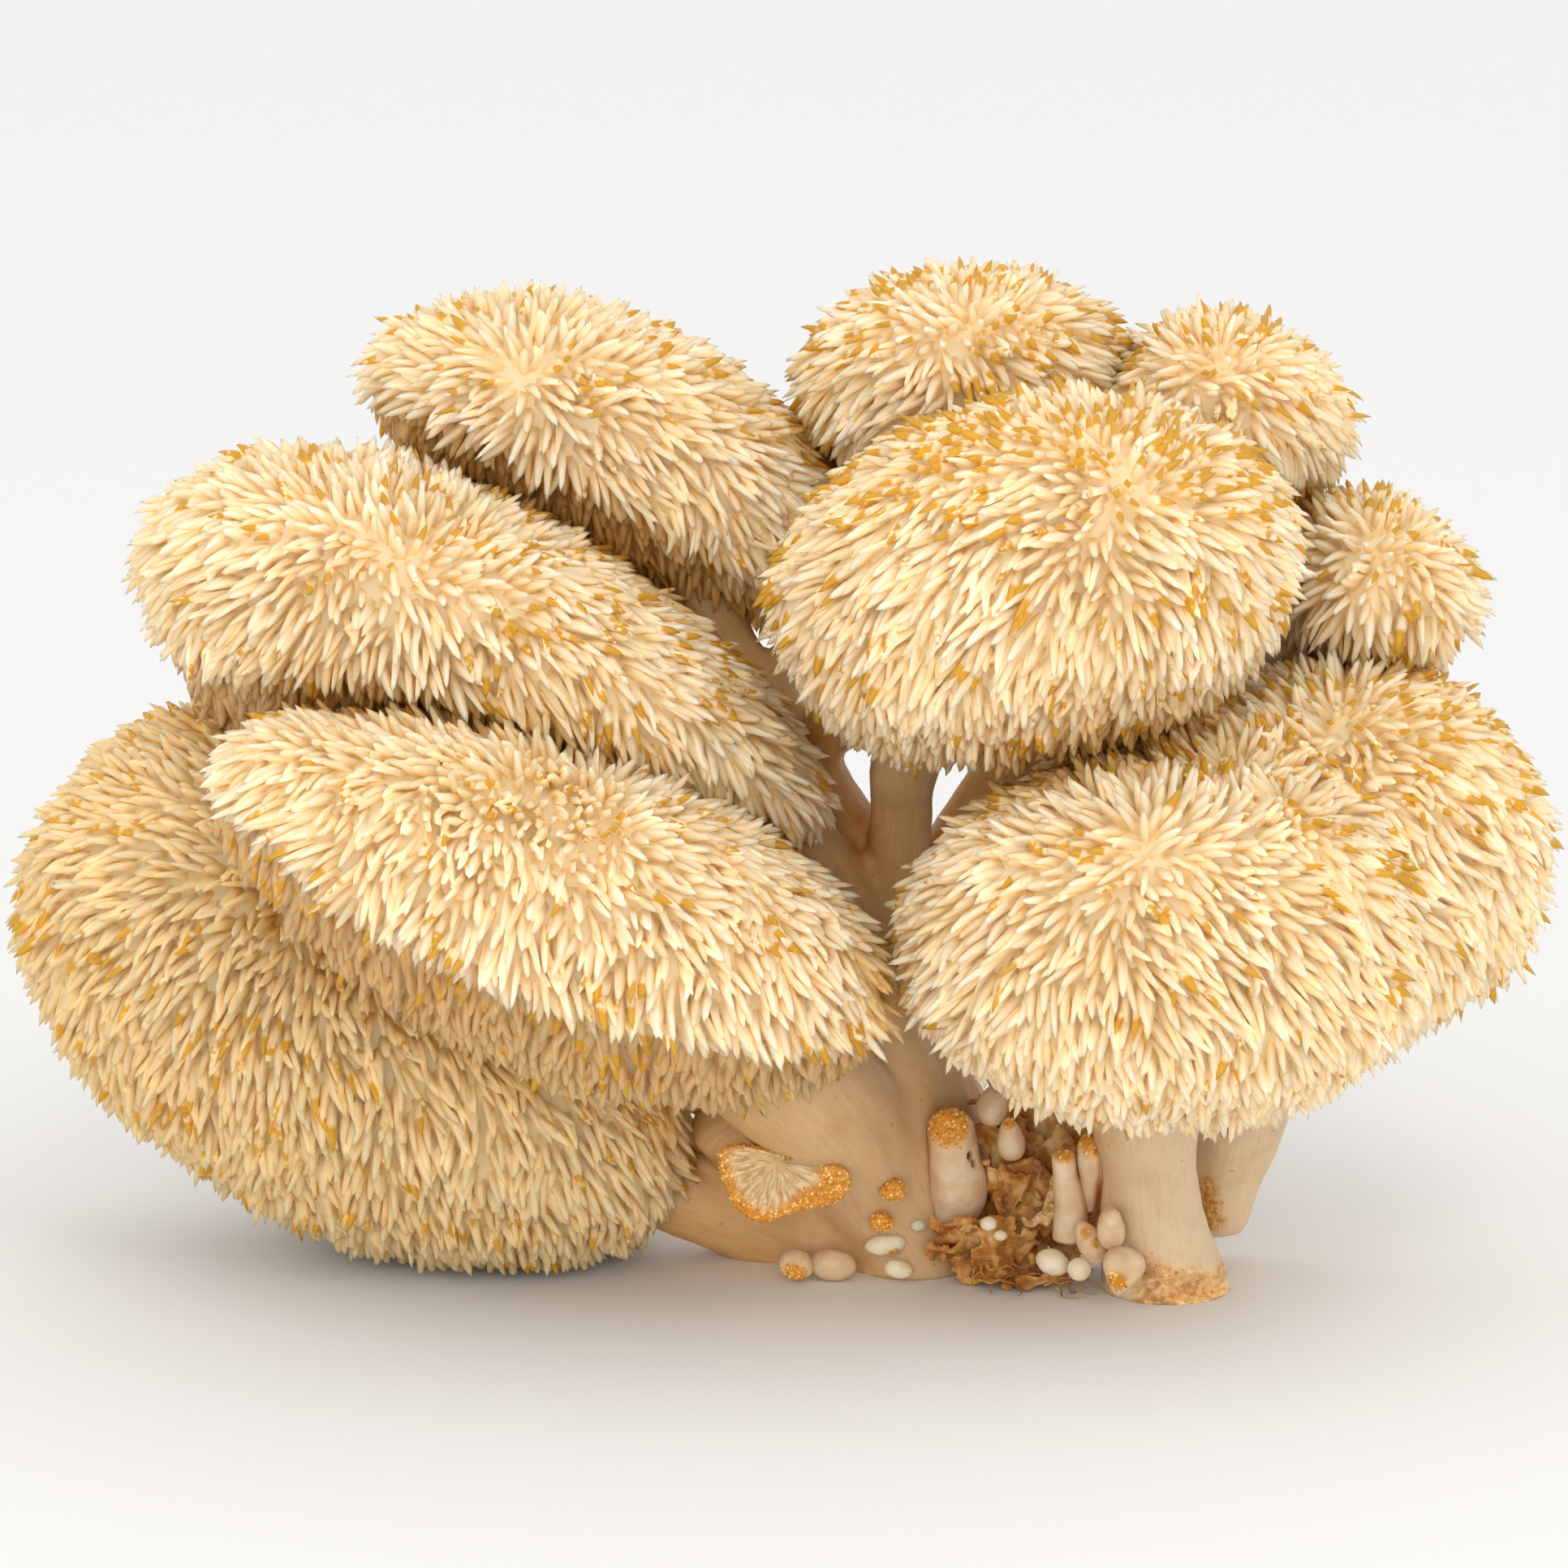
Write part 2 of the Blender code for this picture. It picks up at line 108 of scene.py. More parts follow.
# Stems and young growth: voxels of their skin, granules, and the young cap's grid, with the share of
# its rings that lie in front of the rim
STEM_VOXEL = 0.95
BUD_VOXEL = 0.34
STRIP_VOXEL = 0.28
GRANULE_SPACING = 0.38
GRANULE_RADIUS = 0.23
YOUNG_SPOKES = 120
YOUNG_RINGS = 26
YOUNG_TURN = 0.62

# Husk: grid and thickness of a sheet, and how many threads and crumbs lie with it
SHEET_COLUMNS = 34
SHEET_ROWS = 24
SHEET_THICKNESS = 0.22
THREADS = 26
THREAD_STEPS = 14
CRUMBS = 6

Cap = namedtuple("Cap", "at turn length crown heights depths under comb ledge gold ripe")

# Caps: middle of the flesh, turn in degrees, length, and offset of the crown from the middle; half
# heights and half depths at the left end, crown and right end; depth of the underside against the
# upper side; point that the spines are combed away from; sine of the angle down to the margin, and
# how far the underside is set back there; how golden the spines are all over, on top and at the
# margin; and how much painted shade darkens the cap from cream to beige, most on the low left cap
CAPS = {
    "cap_rear_left": Cap(
        (-28, 36, 121.5), (-10, 25, -7), 73, (-1, 1.5, 6), (11, 16, 13), (24, 27, 20), 0.9,
        (-39, 12, 140), (0.3, 0.2), (0.02, 0.06, 0.0), 0.0,
    ),
    "cap_mid_left": Cap(
        (-45, 3.5, 91), (-4, 17.8, -6), 101, (-9, 1.5, 13), (21.5, 13.5, 7.5), (24, 27, 17), 1.35,
        (-56, -19, 118), (0.35, 0.25), (0.03, 0.06, 0.0), 0.05,
    ),
    "cap_front_left": Cap(
        (-34, -28, 69.5), (4, 21, -1), 99, (3, -3, -5.5), (12.5, 20.5, 15.5), (22, 27.5, 23), 0.85,
        (-25, -30, 90), (-0.06, 0.55), (0.02, 0.0, 0.1), 0.05,
    ),
    "cap_low_left": Cap(
        (-64.8, 9, 43.0), (-24, 34, -6), 107, (1.5, 4, -3), (31.5, 33, 19.5), (28, 31, 26), 0.9,
        (-70, -18, 62), (0.5, 0.1), (0.04, 0.0, 0.04), 0.7,
    ),
    "cap_top_centre": Cap(
        (31, 40, 133), (-5, -4, -3), 42, (0, -3, 3.5), (12, 14.5, 12), (22, 25, 22), 0.85,
        (32, 16, 146), (0.5, 0.12), (0.02, 0.15, 0.0), 0.0,
    ),
    "cap_centre": Cap(
        (41, -15, 107), (-10, -10, 4), 67, (2.5, -7, 6), (22.5, 24.5, 19), (26, 30, 25), 0.84,
        (53, -44, 130), (0.6, 0.06), (0.03, 0.19, 0.04), 0.0,
    ),
    "cap_top_right": Cap(
        (72, 32, 130), (-5, 16, -10), 26, (0, 0, 3), (9, 11.5, 9), (20, 23, 19), 0.85,
        (70, 14, 143), (0.5, 0.1), (0.03, 0.14, 0.0), 0.05,
    ),
    "cap_right_rear": Cap(
        (93.8, 25, 103.6), (-5, 24, 0), 22, (0, -2, 2), (9, 11, 8.5), (19, 21, 17), 0.85,
        (94, 6, 114), (0.5, 0.1), (0.02, 0.1, 0.0), 0.05,
    ),
    "cap_right": Cap(
        (58.7, -31, 58), (-8, 3, 5), 69, (-0.5, -5, 2), (19.5, 24, 18.5), (22, 27, 24), 0.9,
        (55, -58, 79), (0.6, 0.06), (-0.02, 0.08, 0.0), 0.1,
    ),
}

# Lobes of the broad right cap beside its first: the flesh in front, the saddle and the right lobe
RIGHT_LOBES = (
    Cap(
        (78, -12, 59), (-6, 6, 20), 52, (0, -2, 1), (15, 20, 17), (18, 22, 20), 0.85,
        (76, -36, 80), (0.5, 0.1), (0.0, 0.08, 0.0), 0.1,
    ),
    Cap(
        (68.5, -4.5, 68), (-6, -4, 12), 50, (0, -2, 1), (19, 20, 20), (24, 26, 26), 0.85,
        (70, -30, 84), (0.5, 0.1), (0.0, 0.1, 0.0), 0.1,
    ),
    Cap(
        (88.5, 9, 67), (-8, 13, -5), 57, (1.5, -4, -0.5), (18, 26, 21), (25, 30, 25), 0.85,
        (86, -13, 92), (0.5, 0.1), (0.02, 0.15, 0.0), 0.1,
    ),
)

# Stems: centre and radius at each point, from the ground or the fork up into the cap
STEMS = {
    "trunk": (
        (25.5, 15.5, -6, 15.5), (24, 14.5, 11.5, 14), (20, 13.5, 29, 11.5), (18, 13.5, 45, 9),
        (18.5, 13.5, 57, 7.5),
    ),
    "stem_front_left": ((20, 7.5, 4, 10), (13.5, -0.5, 19.5, 11), (4, -12.5, 34.5, 12.5), (-6, -24.5, 50, 14.5)),
    "stem_low_left": ((7, 13, 4.5, 8), (-1, 10.5, 6.5, 9), (-11, 7.5, 11, 8.5), (-22.5, 5.5, 15.5, 8)),
    "limb_left": (
        (18.5, 14.5, 51.5, 6.5), (12, 16.5, 66, 6), (6, 19, 76.5, 5.5), (-1.5, 22, 87, 5.5),
        (-8.5, 26, 96, 6), (-14, 29.5, 107, 8),
    ),
    "stem_mid_left": ((17, 12.5, 50, 6), (9.5, 7.5, 63, 5), (2.5, 3.5, 72.5, 4.5), (-3.5, 3.5, 80.5, 4.5)),
    "stem_top_centre": ((-1, 22.5, 85, 4.5), (2.5, 26.5, 94, 3.5), (8, 32.5, 105, 4), (27, 37.5, 128, 4.5)),
    "stem_centre": ((19.5, 12.5, 54.5, 5.5), (20, 7.5, 71.5, 5), (20.5, 1.5, 82, 5.5), (26.5, -8.5, 98, 6.5)),
    "limb_right": (
        (20.5, 15.5, 52, 6.5), (28, 17.5, 62.5, 5.5), (34.5, 20.5, 72, 5.5), (43.5, 22.5, 84.5, 6.5),
        (57.5, 26.5, 100.5, 6), (74.5, 31.5, 126, 5),
    ),
    "stem_right_rear": ((45, 22.5, 85, 5), (63, 23.5, 89.5, 4.5), (81, 23.5, 94, 4.5), (94, 23.5, 100.5, 4.5)),
    "stem_front_right": (
        (62, -8.5, -3, 10.5), (60, -9.5, 7.5, 9), (58.5, -12.5, 20.5, 7.5), (57.5, -16.5, 30.5, 9),
        (57.5, -22.5, 47, 11.5),
    ),
    "stem_far_right": ((71, 8.5, 4.5, 4.5), (72, 8.5, 13, 6), (74.5, 7.5, 24, 7.5), (83, 7.5, 54.5, 9.5)),
}

# Flesh that fills the creases where the limbs part
WEBS = (
    ((22, 4, -3, 9.5), (21, 3.5, 12, 9.3), (18, 2.5, 27, 9), (14, -1, 42, 8.5), (8, -8, 54, 7)),
    ((10, 8, -3, 9), (5, 6, 8, 8), (-2, 2, 18, 7), (-8, -4, 27, 6.5)),
    ((4, 19.5, 78, 4.5), (10, 15, 86, 5), (16, 8, 94, 5.5), (24, 0, 102, 6)),
)

# Marks on the stems and buds: middle and radius
PITS = ((69.9, 1.4, 25.2, 1.9), (70.9, 0.8, 22.9, 1.1))
CRUSTS = ((69.0, 3.7, 12.5, 2.4), (69.2, 3.8, 9.6, 2.5), (69.8, 4.0, 6.8, 2.3))
SPECKS = (
    (13.2, -14.5, 33.0, 0.5), (11.6, -14.5, 29.3, 0.5), (71.4, 0, 4.6, 2.4), (27.5, -8, 16.2, 0.4),
    (61.5, -19.5, 17.5, 0.5), (57.5, -19.5, 12.5, 0.5),
)
SLITS = {"bud_tall": ((31.2, -6.6, 20.6, 1.1), (31.8, -6.2, 19.3, 1.0))}

# Torn foot of the front right stem: its rim's height at places from left to right
RIM_PLACES = (53.0, 57.0, 61.2, 65.0, 70.4)
RIM_HEIGHTS = (8.0, 6.6, 4.6, 4.0, 2.8)

# Young growth: stalks like the stems, and buds by middle, turn, half sizes and taper to the top
STALKS = {
    "bud_tall": ((28.5, -2, 8, 3.4), (28.9, -2.6, 14, 4.9), (28.1, -3.2, 19.5, 4.3), (27.6, -4, 25.2, 3.9)),
    "bud_column": (
        (46.5, -10.5, 8.5, 2.9), (46.3, -10.6, 14, 2.6), (45.5, -10.8, 18.6, 2.0), (45.2, -11, 22.2, 1.9),
    ),
    "bud_round": ((49, -9.5, 13, 1.5), (49.5, -10, 17.5, 1.8), (49.8, -10.8, 21.5, 2.5), (49.9, -11, 23.6, 2.5)),
}
BUDS = {
    "bud_upper": ((34.5, -1.5, 27.5), (0, 12, 0), (2.6, 2.4, 3.4), 0.2),
    "bud_upper_tip": ((37.2, -4.5, 22.8), (0, -8, 0), (2.2, 2.1, 3.6), 0.25),
    "bud_dot_upper": ((18.5, -10.4, 16.3), (0, 0, 0), (1.9, 1.5, 1.8), 0),
    "bud_dot_lower": ((16.8, -8.6, 10.4), (0, 0, 0), (1.7, 1.4, 1.5), 0),
    "bead_trunk": ((22.5, -4.9, 9.0), (0, 10, 0), (1.7, 1.3, 1.3), 0),
    "bean_white": ((17.5, -5, 5.9), (0, -10, 0), (3.4, 1.7, 1.8), 0),
    "bud_white_low": ((19.5, -7.5, 2.5), (0, 14, 0), (2.3, 1.5, 1.5), 0),
    "bead_husk_large": ((33.5, -12.5, 11.4), (0, 8, 0), (1.4, 1.2, 1.2), 0),
    "bead_husk_small": ((35.3, -13.5, 9.7), (0, 0, 0), (1.1, 0.9, 0.9), 0),
    "bud_ring": ((52.3, -18.5, 12.5), (0, -4, 0), (2.2, 1.8, 3.7), 0.2),
    "bud_curved": ((49.2, -15.5, 9.2), (0, -25, 0), (2.1, 1.8, 3.8), 0),
    "bud_cone": ((54, -21.5, 6.3), (0, 12, 0), (3.1, 2.4, 3.9), -0.5),
    "bud_white_left": ((43.5, -13.5, 5.4), (0, 20, 0), (2.8, 2.0, 2.1), 0),
    "bud_white_right": ((47.6, -16, 5), (0, 0, 0), (1.9, 1.8, 1.9), 0),
    "bud_oval": ((3.5, -6, 2.9), (0, 12, 0), (2.9, 2.2, 2.3), 0),
    "lump_beige": ((9.2, -5.5, 2.6), (0, 8, 0), (3.8, 2.6, 2.5), 0),
}

# Rounded flesh that is added to some of them, told like the buds
SWELLINGS = {
    "bud_tall": ((27.6, -4.6, 25.4), (-28, 0, 0), (3.5, 2.9, 2.2), 0),
    "bud_round": ((49.9, -11.4, 23.6), (0, 0, 0), (2.4, 2.2, 2.1), 0),
    "bud_ring": ((52.3, -19.7, 14.2), (0, 0, 0), (1.7, 1.5, 1.7), 0),
}

# Golden grainy places on the young growth: middle and radius
GOLDEN_SPOTS = {
    "bud_tall": ((27.4, -7.4, 26.0, 4.4),),
    "bud_column": ((45.2, -12.6, 23.3, 2.6),),
    "bud_round": ((49.9, -12.8, 25.0, 3.3),),
    "bud_upper_tip": ((36.9, -5.8, 26.4, 2.0),),
    "bean_white": ((19.0, -6.2, 4.3, 1.5),),
    "bud_curved": ((48.5, -17.4, 11.4, 1.3), (50.2, -17.6, 9.8, 1.2)),
    "bud_cone": ((52.9, -23.6, 5.2, 2.2),),
    "bud_oval": ((3.0, -7.6, 1.6, 2.6),),
    "bud_dot_upper": ((18.5, -11.4, 16.3, 3.2),),
    "bud_dot_lower": ((16.8, -9.4, 10.6, 2.6),),
}

# Young cap: its rim as seen from the front, and the middle that its folds fan out from
YOUNG_RIM = (
    (-8.9, 24.6), (-7.6, 25.6), (-5.6, 25.7), (-3.2, 25.3), (-0.6, 24.7), (1.8, 23.9), (4.4, 23.4), (7.0, 23.4),
    (9.6, 22.7), (11.5, 21.4), (12.2, 19.5), (11.2, 17.2), (9.2, 16.0), (6.6, 15.4), (3.6, 15.0), (1.4, 14.2),
    (-0.6, 13.3), (-2.8, 13.3), (-5.0, 14.4), (-6.6, 16.2), (-7.6, 18.6), (-8.6, 21.6),
)
YOUNG_MIDDLE = (0.4, 22.6)
YOUNG_DEPTH = -16.5

# Husk: middle, turn, width and height, crumple, and seed of each sheet
HUSKS = {
    "husk_front": (
        ((33, -8, 7.6), (14, 10, 4), (17, 9), 2.6, 3), ((29.5, -7.5, 6.0), (30, -25, -20), (11, 8), 2.4, 21),
        ((36.5, -9, 5.6), (-20, 22, 25), (12, 9), 2.6, 22), ((41, 0, 6), (0, 0, 0), (18, 12), 2.0, 62),
    ),
    "husk_middle": (
        ((40, -4.5, 13.5), (-10, -18, 0), (11, 11), 2.6, 8), ((36.6, -3.5, 14.5), (20, 10, -30), (8, 10), 2.4, 31),
        ((42.6, -6.5, 8.8), (35, 30, 10), (9, 7), 2.4, 32),
    ),
    # The back sheets are large and dark and fill the gap behind the buds and stems: partly husk, partly a dark sheet
    # standing in for the shade there
    "husk_back": (
        ((41, 3.5, 21.5), (0, 8, 0), (13, 13), 2.2, 5), ((37.4, 0.5, 20.5), (-15, -25, 20), (9, 11), 2.2, 41),
        ((43.5, 0.5, 17.5), (10, 35, -15), (8, 11), 2.2, 42), ((50, 3, 13), (0, 6, 10), (12, 22), 1.6, 63),
        ((43, 6, 19), (0, -4, 0), (21, 27), 2.0, 61),
    ),
    "husk_skirt": (
        ((38.5, -10, 1.9), (74, 0, 0), (15, 7), 1.4, 11), ((33.5, -9.5, 2.6), (40, 15, -10), (12, 6), 1.6, 51),
        ((42.5, -12.0, 2.8), (50, -18, 12), (9, 5), 1.6, 52),
    ),
}
HUSK_STRIP = (
    (46.0, -9.5, 19.6, 0.8), (44.6, -9.2, 17.2, 1.0), (43.6, -9.0, 14.6, 0.9), (43.0, -9.8, 12.4, 1.1),
    (41.0, -10.4, 11.2, 0.8), (38.6, -10.8, 11.4, 0.6),
)


def shifted(point):
    """A table's point in the part's frame, in metres."""
    return (Vector(point[:3]) + Vector(CLUSTER_AT)) * MM


def in_table(points):
    """Points of the part's frame in metres, as a table gives them."""
    return points / MM - np.array(CLUSTER_AT)


def linear(code):
    """An sRGB hex value as linear red, green, blue and alpha."""
    values = [int(code[i:i + 2], 16) / 255 for i in (1, 3, 5)]
    return tuple(v / 12.92 if v <= 0.04045 else ((v + 0.055) / 1.055) ** 2.4 for v in values) + (1.0,)


def link_object(name, data):
    piece = bpy.data.objects.new(name, data)
    bpy.context.scene.collection.objects.link(piece)
    return piece


def mesh_from(name, points, faces):
    mesh = bpy.data.meshes.new(name)
    mesh.from_pydata([tuple(point) for point in points], [], [tuple(face) for face in faces])
    mesh.validate()
    return mesh


def face_outward(bm):
    """Turns every face of a closed form outward."""
    bmesh.ops.recalc_face_normals(bm, faces=bm.faces[:])
    if bm.calc_volume(signed=True) < 0:
        bmesh.ops.reverse_faces(bm, faces=bm.faces[:])


def closed_piece(name, points, faces, **stored):
    """A closed form as an object, faces outward, with what is stored at its points."""
    mesh = mesh_from(name, points, faces)
    for key, values in stored.items():
        put_values(mesh, key, values)
    bm = bmesh.new()
    bm.from_mesh(mesh)
    bmesh.ops.remove_doubles(bm, verts=bm.verts[:], dist=0.000005)
    face_outward(bm)
    bm.to_mesh(mesh)
    bm.free()
    return link_object(name, mesh)


def bake_modifiers(piece):
    """Keeps a piece's evaluated form as a plain mesh."""
    graph = bpy.context.evaluated_depsgraph_get()
    graph.update()
    mesh = bpy.data.meshes.new_from_object(piece.evaluated_get(graph), depsgraph=graph)
    piece.modifiers.clear()
    piece.data = mesh


def add_modifier(piece, name, kind, **settings):
    change = piece.modifiers.new(name, kind)
    for key, value in settings.items():
        setattr(change, key, value)


def joined(pieces):
    """Joins pieces made here into the first of them."""
    bm = bmesh.new()
    for piece in pieces:
        bm.from_mesh(piece.data)
    bm.to_mesh(pieces[0].data)
    bm.free()
    for piece in pieces[1:]:
        bpy.data.objects.remove(piece, do_unlink=True)
    return pieces[0]


def rows_of(mesh, what):
    """A mesh's points ("co") or normals ("normal"), a row each."""
    values = np.empty(len(mesh.vertices) * 3)
    mesh.vertices.foreach_get(what, values)
    return values.reshape(-1, 3)


def set_points(mesh, points):
    mesh.vertices.foreach_set("co", np.ascontiguousarray(points, dtype=np.float32).ravel())
    mesh.update()


def push_out(mesh, push_mm):
    """Moves each point of a mesh along its normal, and keeps it above the ground."""
    points = rows_of(mesh, "co") + rows_of(mesh, "normal") * (push_mm * MM)[:, None]
    points[:, 2] = np.maximum(points[:, 2], ON_GROUND * MM)
    set_points(mesh, points)


def unit(rows):
    return rows / np.maximum(np.linalg.norm(rows, axis=1, keepdims=True), 1e-9)


def along_skin(rows, normals):
    """The part of each row that lies along the skin with this normal."""
    return rows - normals * (normals * rows).sum(axis=1, keepdims=True)


def turned(degrees):
    return Euler([math.radians(angle) for angle in degrees]).to_matrix()


def put_values(mesh, name, values):
    """Stores one number or one vector a point on a mesh."""
    values = np.ascontiguousarray(values, dtype=np.float32)
    vector = values.ndim == 2
    layer = mesh.attributes.new(name, "FLOAT_VECTOR" if vector else "FLOAT", "POINT")
    layer.data.foreach_set("vector" if vector else "value", values.ravel())


def noise_at(points, size_mm, seed=0.0):
    """Soft noise from -1 to 1 at points in metres, with lumps of this size."""
    shift = Vector((seed * 3.1, seed * 1.7, seed * 2.3))
    scale = 1 / (size_mm * MM)
    return np.array([noise.noise(Vector(point) * scale + shift) for point in points])


def sway_at(points, size_mm):
    """Soft random vectors at points in metres, with swirls of this size."""
    return np.array([noise.noise_vector(Vector(point) / (size_mm * MM)) for point in points])


def smooth_step(values, low, high):
    t = np.clip((values - low) / (high - low), 0, 1)
    return t * t * (3 - 2 * t)


def add_node(tree, kind, settings=None, inputs=None, stops=()):
    """Adds a node with its settings, its inputs and a ramp's stops.

    An input is a value, an sRGB hex colour, a socket, a node, which gives its first output in use,
    or a list of those.
    """
    node = tree.nodes.new(kind)
    for key, value in (settings or {}).items():
        setattr(node, key, value)
    for key, value in (inputs or {}).items():
        for source in value if isinstance(value, list) else [value]:
            if isinstance(source, bpy.types.Node):
                source = next(socket for socket in source.outputs if socket.enabled)
            if isinstance(source, bpy.types.NodeSocket):
                tree.links.new(source, node.inputs[key])
            else:
                node.inputs[key].default_value = linear(source) if str(source).startswith("#") else source
    for number, (position, colour) in enumerate(stops):
        elements = node.color_ramp.elements
        element = elements[number] if number < len(elements) else elements.new(position)
        element.position = position
        element.color = linear(colour)
    return node


def new_group(name, piece, sizes):
    """A geometry node tree that a piece goes into and out of, what adds its nodes, and what it is given."""
    tree = bpy.data.node_groups.new(name, "GeometryNodeTree")
    face = tree.interface
    face.new_socket(piece, in_out="INPUT", socket_type="NodeSocketGeometry")
    for size, value_mm in sizes.items():
        face.new_socket(size, in_out="INPUT", socket_type="NodeSocketFloat").default_value = value_mm * MM
    face.new_socket("Seed", in_out="INPUT", socket_type="NodeSocketInt").default_value = 1
    face.new_socket(piece, in_out="OUTPUT", socket_type="NodeSocketGeometry")
    return tree, partial(add_node, tree), add_node(tree, "NodeGroupInput").outputs


def new_material(name, *stored):
    """A material, what adds its nodes, the object's coordinates, and the numbers that the mesh stores."""
    material = bpy.data.materials.new(name)
    material.use_nodes = True
    material.node_tree.nodes.clear()
    add = partial(add_node, material.node_tree)
    where = add("ShaderNodeTexCoord").outputs["Object"]
    numbers = (add("ShaderNodeAttribute", {"attribute_name": each}).outputs["Fac"] for each in stored)
    return material, add, where, *numbers


def finish_material(material, body, settings, layers=(), shades=()):
    """Lays colours over a body by their shares, paints shade on it where it is closed in, and ends in a shader."""
    add = partial(add_node, material.node_tree)
    for share, colour in layers:
        body = add(*BLEND, {0: share, 6: body, 7: colour})
    # Painted shade: the colour is darkened and warmed where the point is closed in by the pieces round it
    if shades:
        nook = add("ShaderNodeAttribute", {"attribute_name": "nook"}).outputs["Fac"]
        body = add(*SHADE, {0: 1.0, 6: body, 7: add(*RAMP, {"Fac": nook}, shades)})
    shader = add("ShaderNodeBsdfPrincipled", {"subsurface_method": "BURLEY"}, {"Base Color": body, **settings})
    add("ShaderNodeOutputMaterial", None, {"Surface": shader})
    return material


# Light goes about 3 mm into the flesh and comes out warmer
FLESH_GLOW = {
    "Subsurface Weight": 1.0, "Subsurface Radius": (1.0, 0.72, 0.46), "Subsurface Scale": 0.0029, "IOR": 1.4,
}

# Kinds of node, with the settings that go with them
PLUS, TIMES, MINUS, POWER, LARGER, TIMES_PLUS = (
    ("ShaderNodeMath", {"operation": name})
    for name in ("ADD", "MULTIPLY", "SUBTRACT", "POWER", "MAXIMUM", "MULTIPLY_ADD")
)
ADD_VECTORS, SCALE_VECTOR, STRETCH = (
    ("ShaderNodeVectorMath", {"operation": name}) for name in ("ADD", "SCALE", "MULTIPLY")
)
BLEND = ("ShaderNodeMix", {"data_type": "RGBA"})
SHADE = ("ShaderNodeMix", {"data_type": "RGBA", "blend_type": "MULTIPLY"})
EASE = ("ShaderNodeMapRange", {"interpolation_type": "SMOOTHSTEP"})
RAMP = ("ShaderNodeValToRGB", None)
CLOUDS = ("ShaderNodeTexNoise", None)
RELIEF = ("ShaderNodeBump", None)
ANY_NUMBER, ANY_VECTOR = (("FunctionNodeRandomValue", {"data_type": kind}) for kind in ("FLOAT", "FLOAT_VECTOR"))
SCATTER = ("GeometryNodeDistributePointsOnFaces", {"distribute_method": "POISSON"})
KEEP_NUMBER, KEEP_VECTOR = (
    ("GeometryNodeStoreNamedAttribute", {"data_type": kind, "domain": "POINT"}) for kind in ("FLOAT", "FLOAT_VECTOR")
)


# Caps

def between(left, middle, right, t):
    """Smooth value between three, for t from -1 at the left to 1 at the right."""
    return middle + (right - left) / 2 * t + ((left + right) / 2 - middle) * t * t


def tuck_under(cap, fall):
    """How far a place is under a cap's margin, from 0 above it to 1; fall is the sine of its angle downward."""
    share = min(1.0, max(0.0, (fall - cap.ledge[0]) / 0.16))
    return share * share * (3 - 2 * share)


def cap_point(cap, t, angle, grow):
    """Point of a cap's surface in its own frame, in metres, grow millimetres outside its flesh."""
    half = cap.length / 2 + grow
    skew, bow, arch = (offset * (1 - t * t) for offset in cap.crown)
    along = Vector((half - 2 * cap.crown[0] * t, 0, -2 * cap.crown[2] * t)).normalized()
    up = Vector((-along.z, 0, along.x))
    fullness = max(0.0, 1 - abs(t) ** END_POWER) ** (1 / END_POWER)
    height = (between(*cap.heights, t) + grow) * fullness
    depth = (between(*cap.depths, t) + grow) * fullness
    rise, side = (
        math.copysign(abs(part) ** (2 / SECTION_POWER), part) for part in (math.sin(angle), math.cos(angle))
    )
    if rise < 0:
        side *= 1 - cap.ledge[1] * tuck_under(cap, -math.sin(angle))
        rise *= cap.under
    return (Vector((half * t + skew, bow + side * depth, arch)) + up * rise * height) * MM


def ring_faces(first, rings, around, poles):
    """Faces of a closed form that is made of rings of points, from one pole to the other."""
    faces = []
    last = first + (rings - 1) * around
    for step in range(around):
        beside = (step + 1) % around
        faces.append((poles[0], first + beside, first + step))
        faces.append((last + step, last + beside, poles[1]))
        for low in range(first, last, around):
            faces.append((low + step, low + beside, low + around + beside, low + around + step))
    return faces


def cap_core(name, cap):
    """The flesh under a cap's spines, with slow lumps; its poles are at its two ends."""
    place = Matrix.Translation(shifted(cap.at)) @ turned(cap.turn).to_4x4()
    points = [place @ cap_point(cap, -1, 0, CORE_GROW)]
    tiers = [0.0]
    for row in range(1, CAP_ROWS):
        t = -math.cos(math.pi * row / CAP_ROWS)
        for step in range(CAP_AROUND):
            angle = 2 * math.pi * step / CAP_AROUND
            points.append(place @ cap_point(cap, t, angle, CORE_GROW))
            tiers.append(tuck_under(cap, -math.sin(angle)))
    points.append(place @ cap_point(cap, 1, 0, CORE_GROW))
    tiers.append(0.0)
    faces = ring_faces(1, CAP_ROWS - 1, CAP_AROUND, (0, len(points) - 1))
    points = np.array([tuple(point) for point in points])
    push = noise_at(points, CORE_LUMP_LENGTH) + 0.5 * noise_at(points, CORE_LUMP_LENGTH * 0.45, 2)
    points += unit(points - np.array(shifted(cap.at))) * (push * CORE_LUMP * MM)[:, None]
    points[:, 2] = np.maximum(points[:, 2], CORE_ABOVE_GROUND * MM)
    return closed_piece(name, points, faces, tier=np.array(tiers) * min(1.0, cap.ledge[1] / 0.2))


def make_core(name, caps):
    """A cap's core, grown together where the cap has several lobes."""
    core, *lobes = (cap_core(name + "_" + str(number), cap) for number, cap in enumerate(caps))
    core.name = name
    if lobes:
        for lobe in lobes:
            add_modifier(core, "lobe", "BOOLEAN", operation="UNION", object=lobe)
        add_modifier(core, "skin", "REMESH", mode="VOXEL", voxel_size=LOBE_VOXEL * MM)
        add_modifier(core, "blend", "SMOOTH", factor=0.5, iterations=LOBE_SMOOTHING)
        bake_modifiers(core)
        for lobe in lobes:
            bpy.data.objects.remove(lobe, do_unlink=True)
    return core


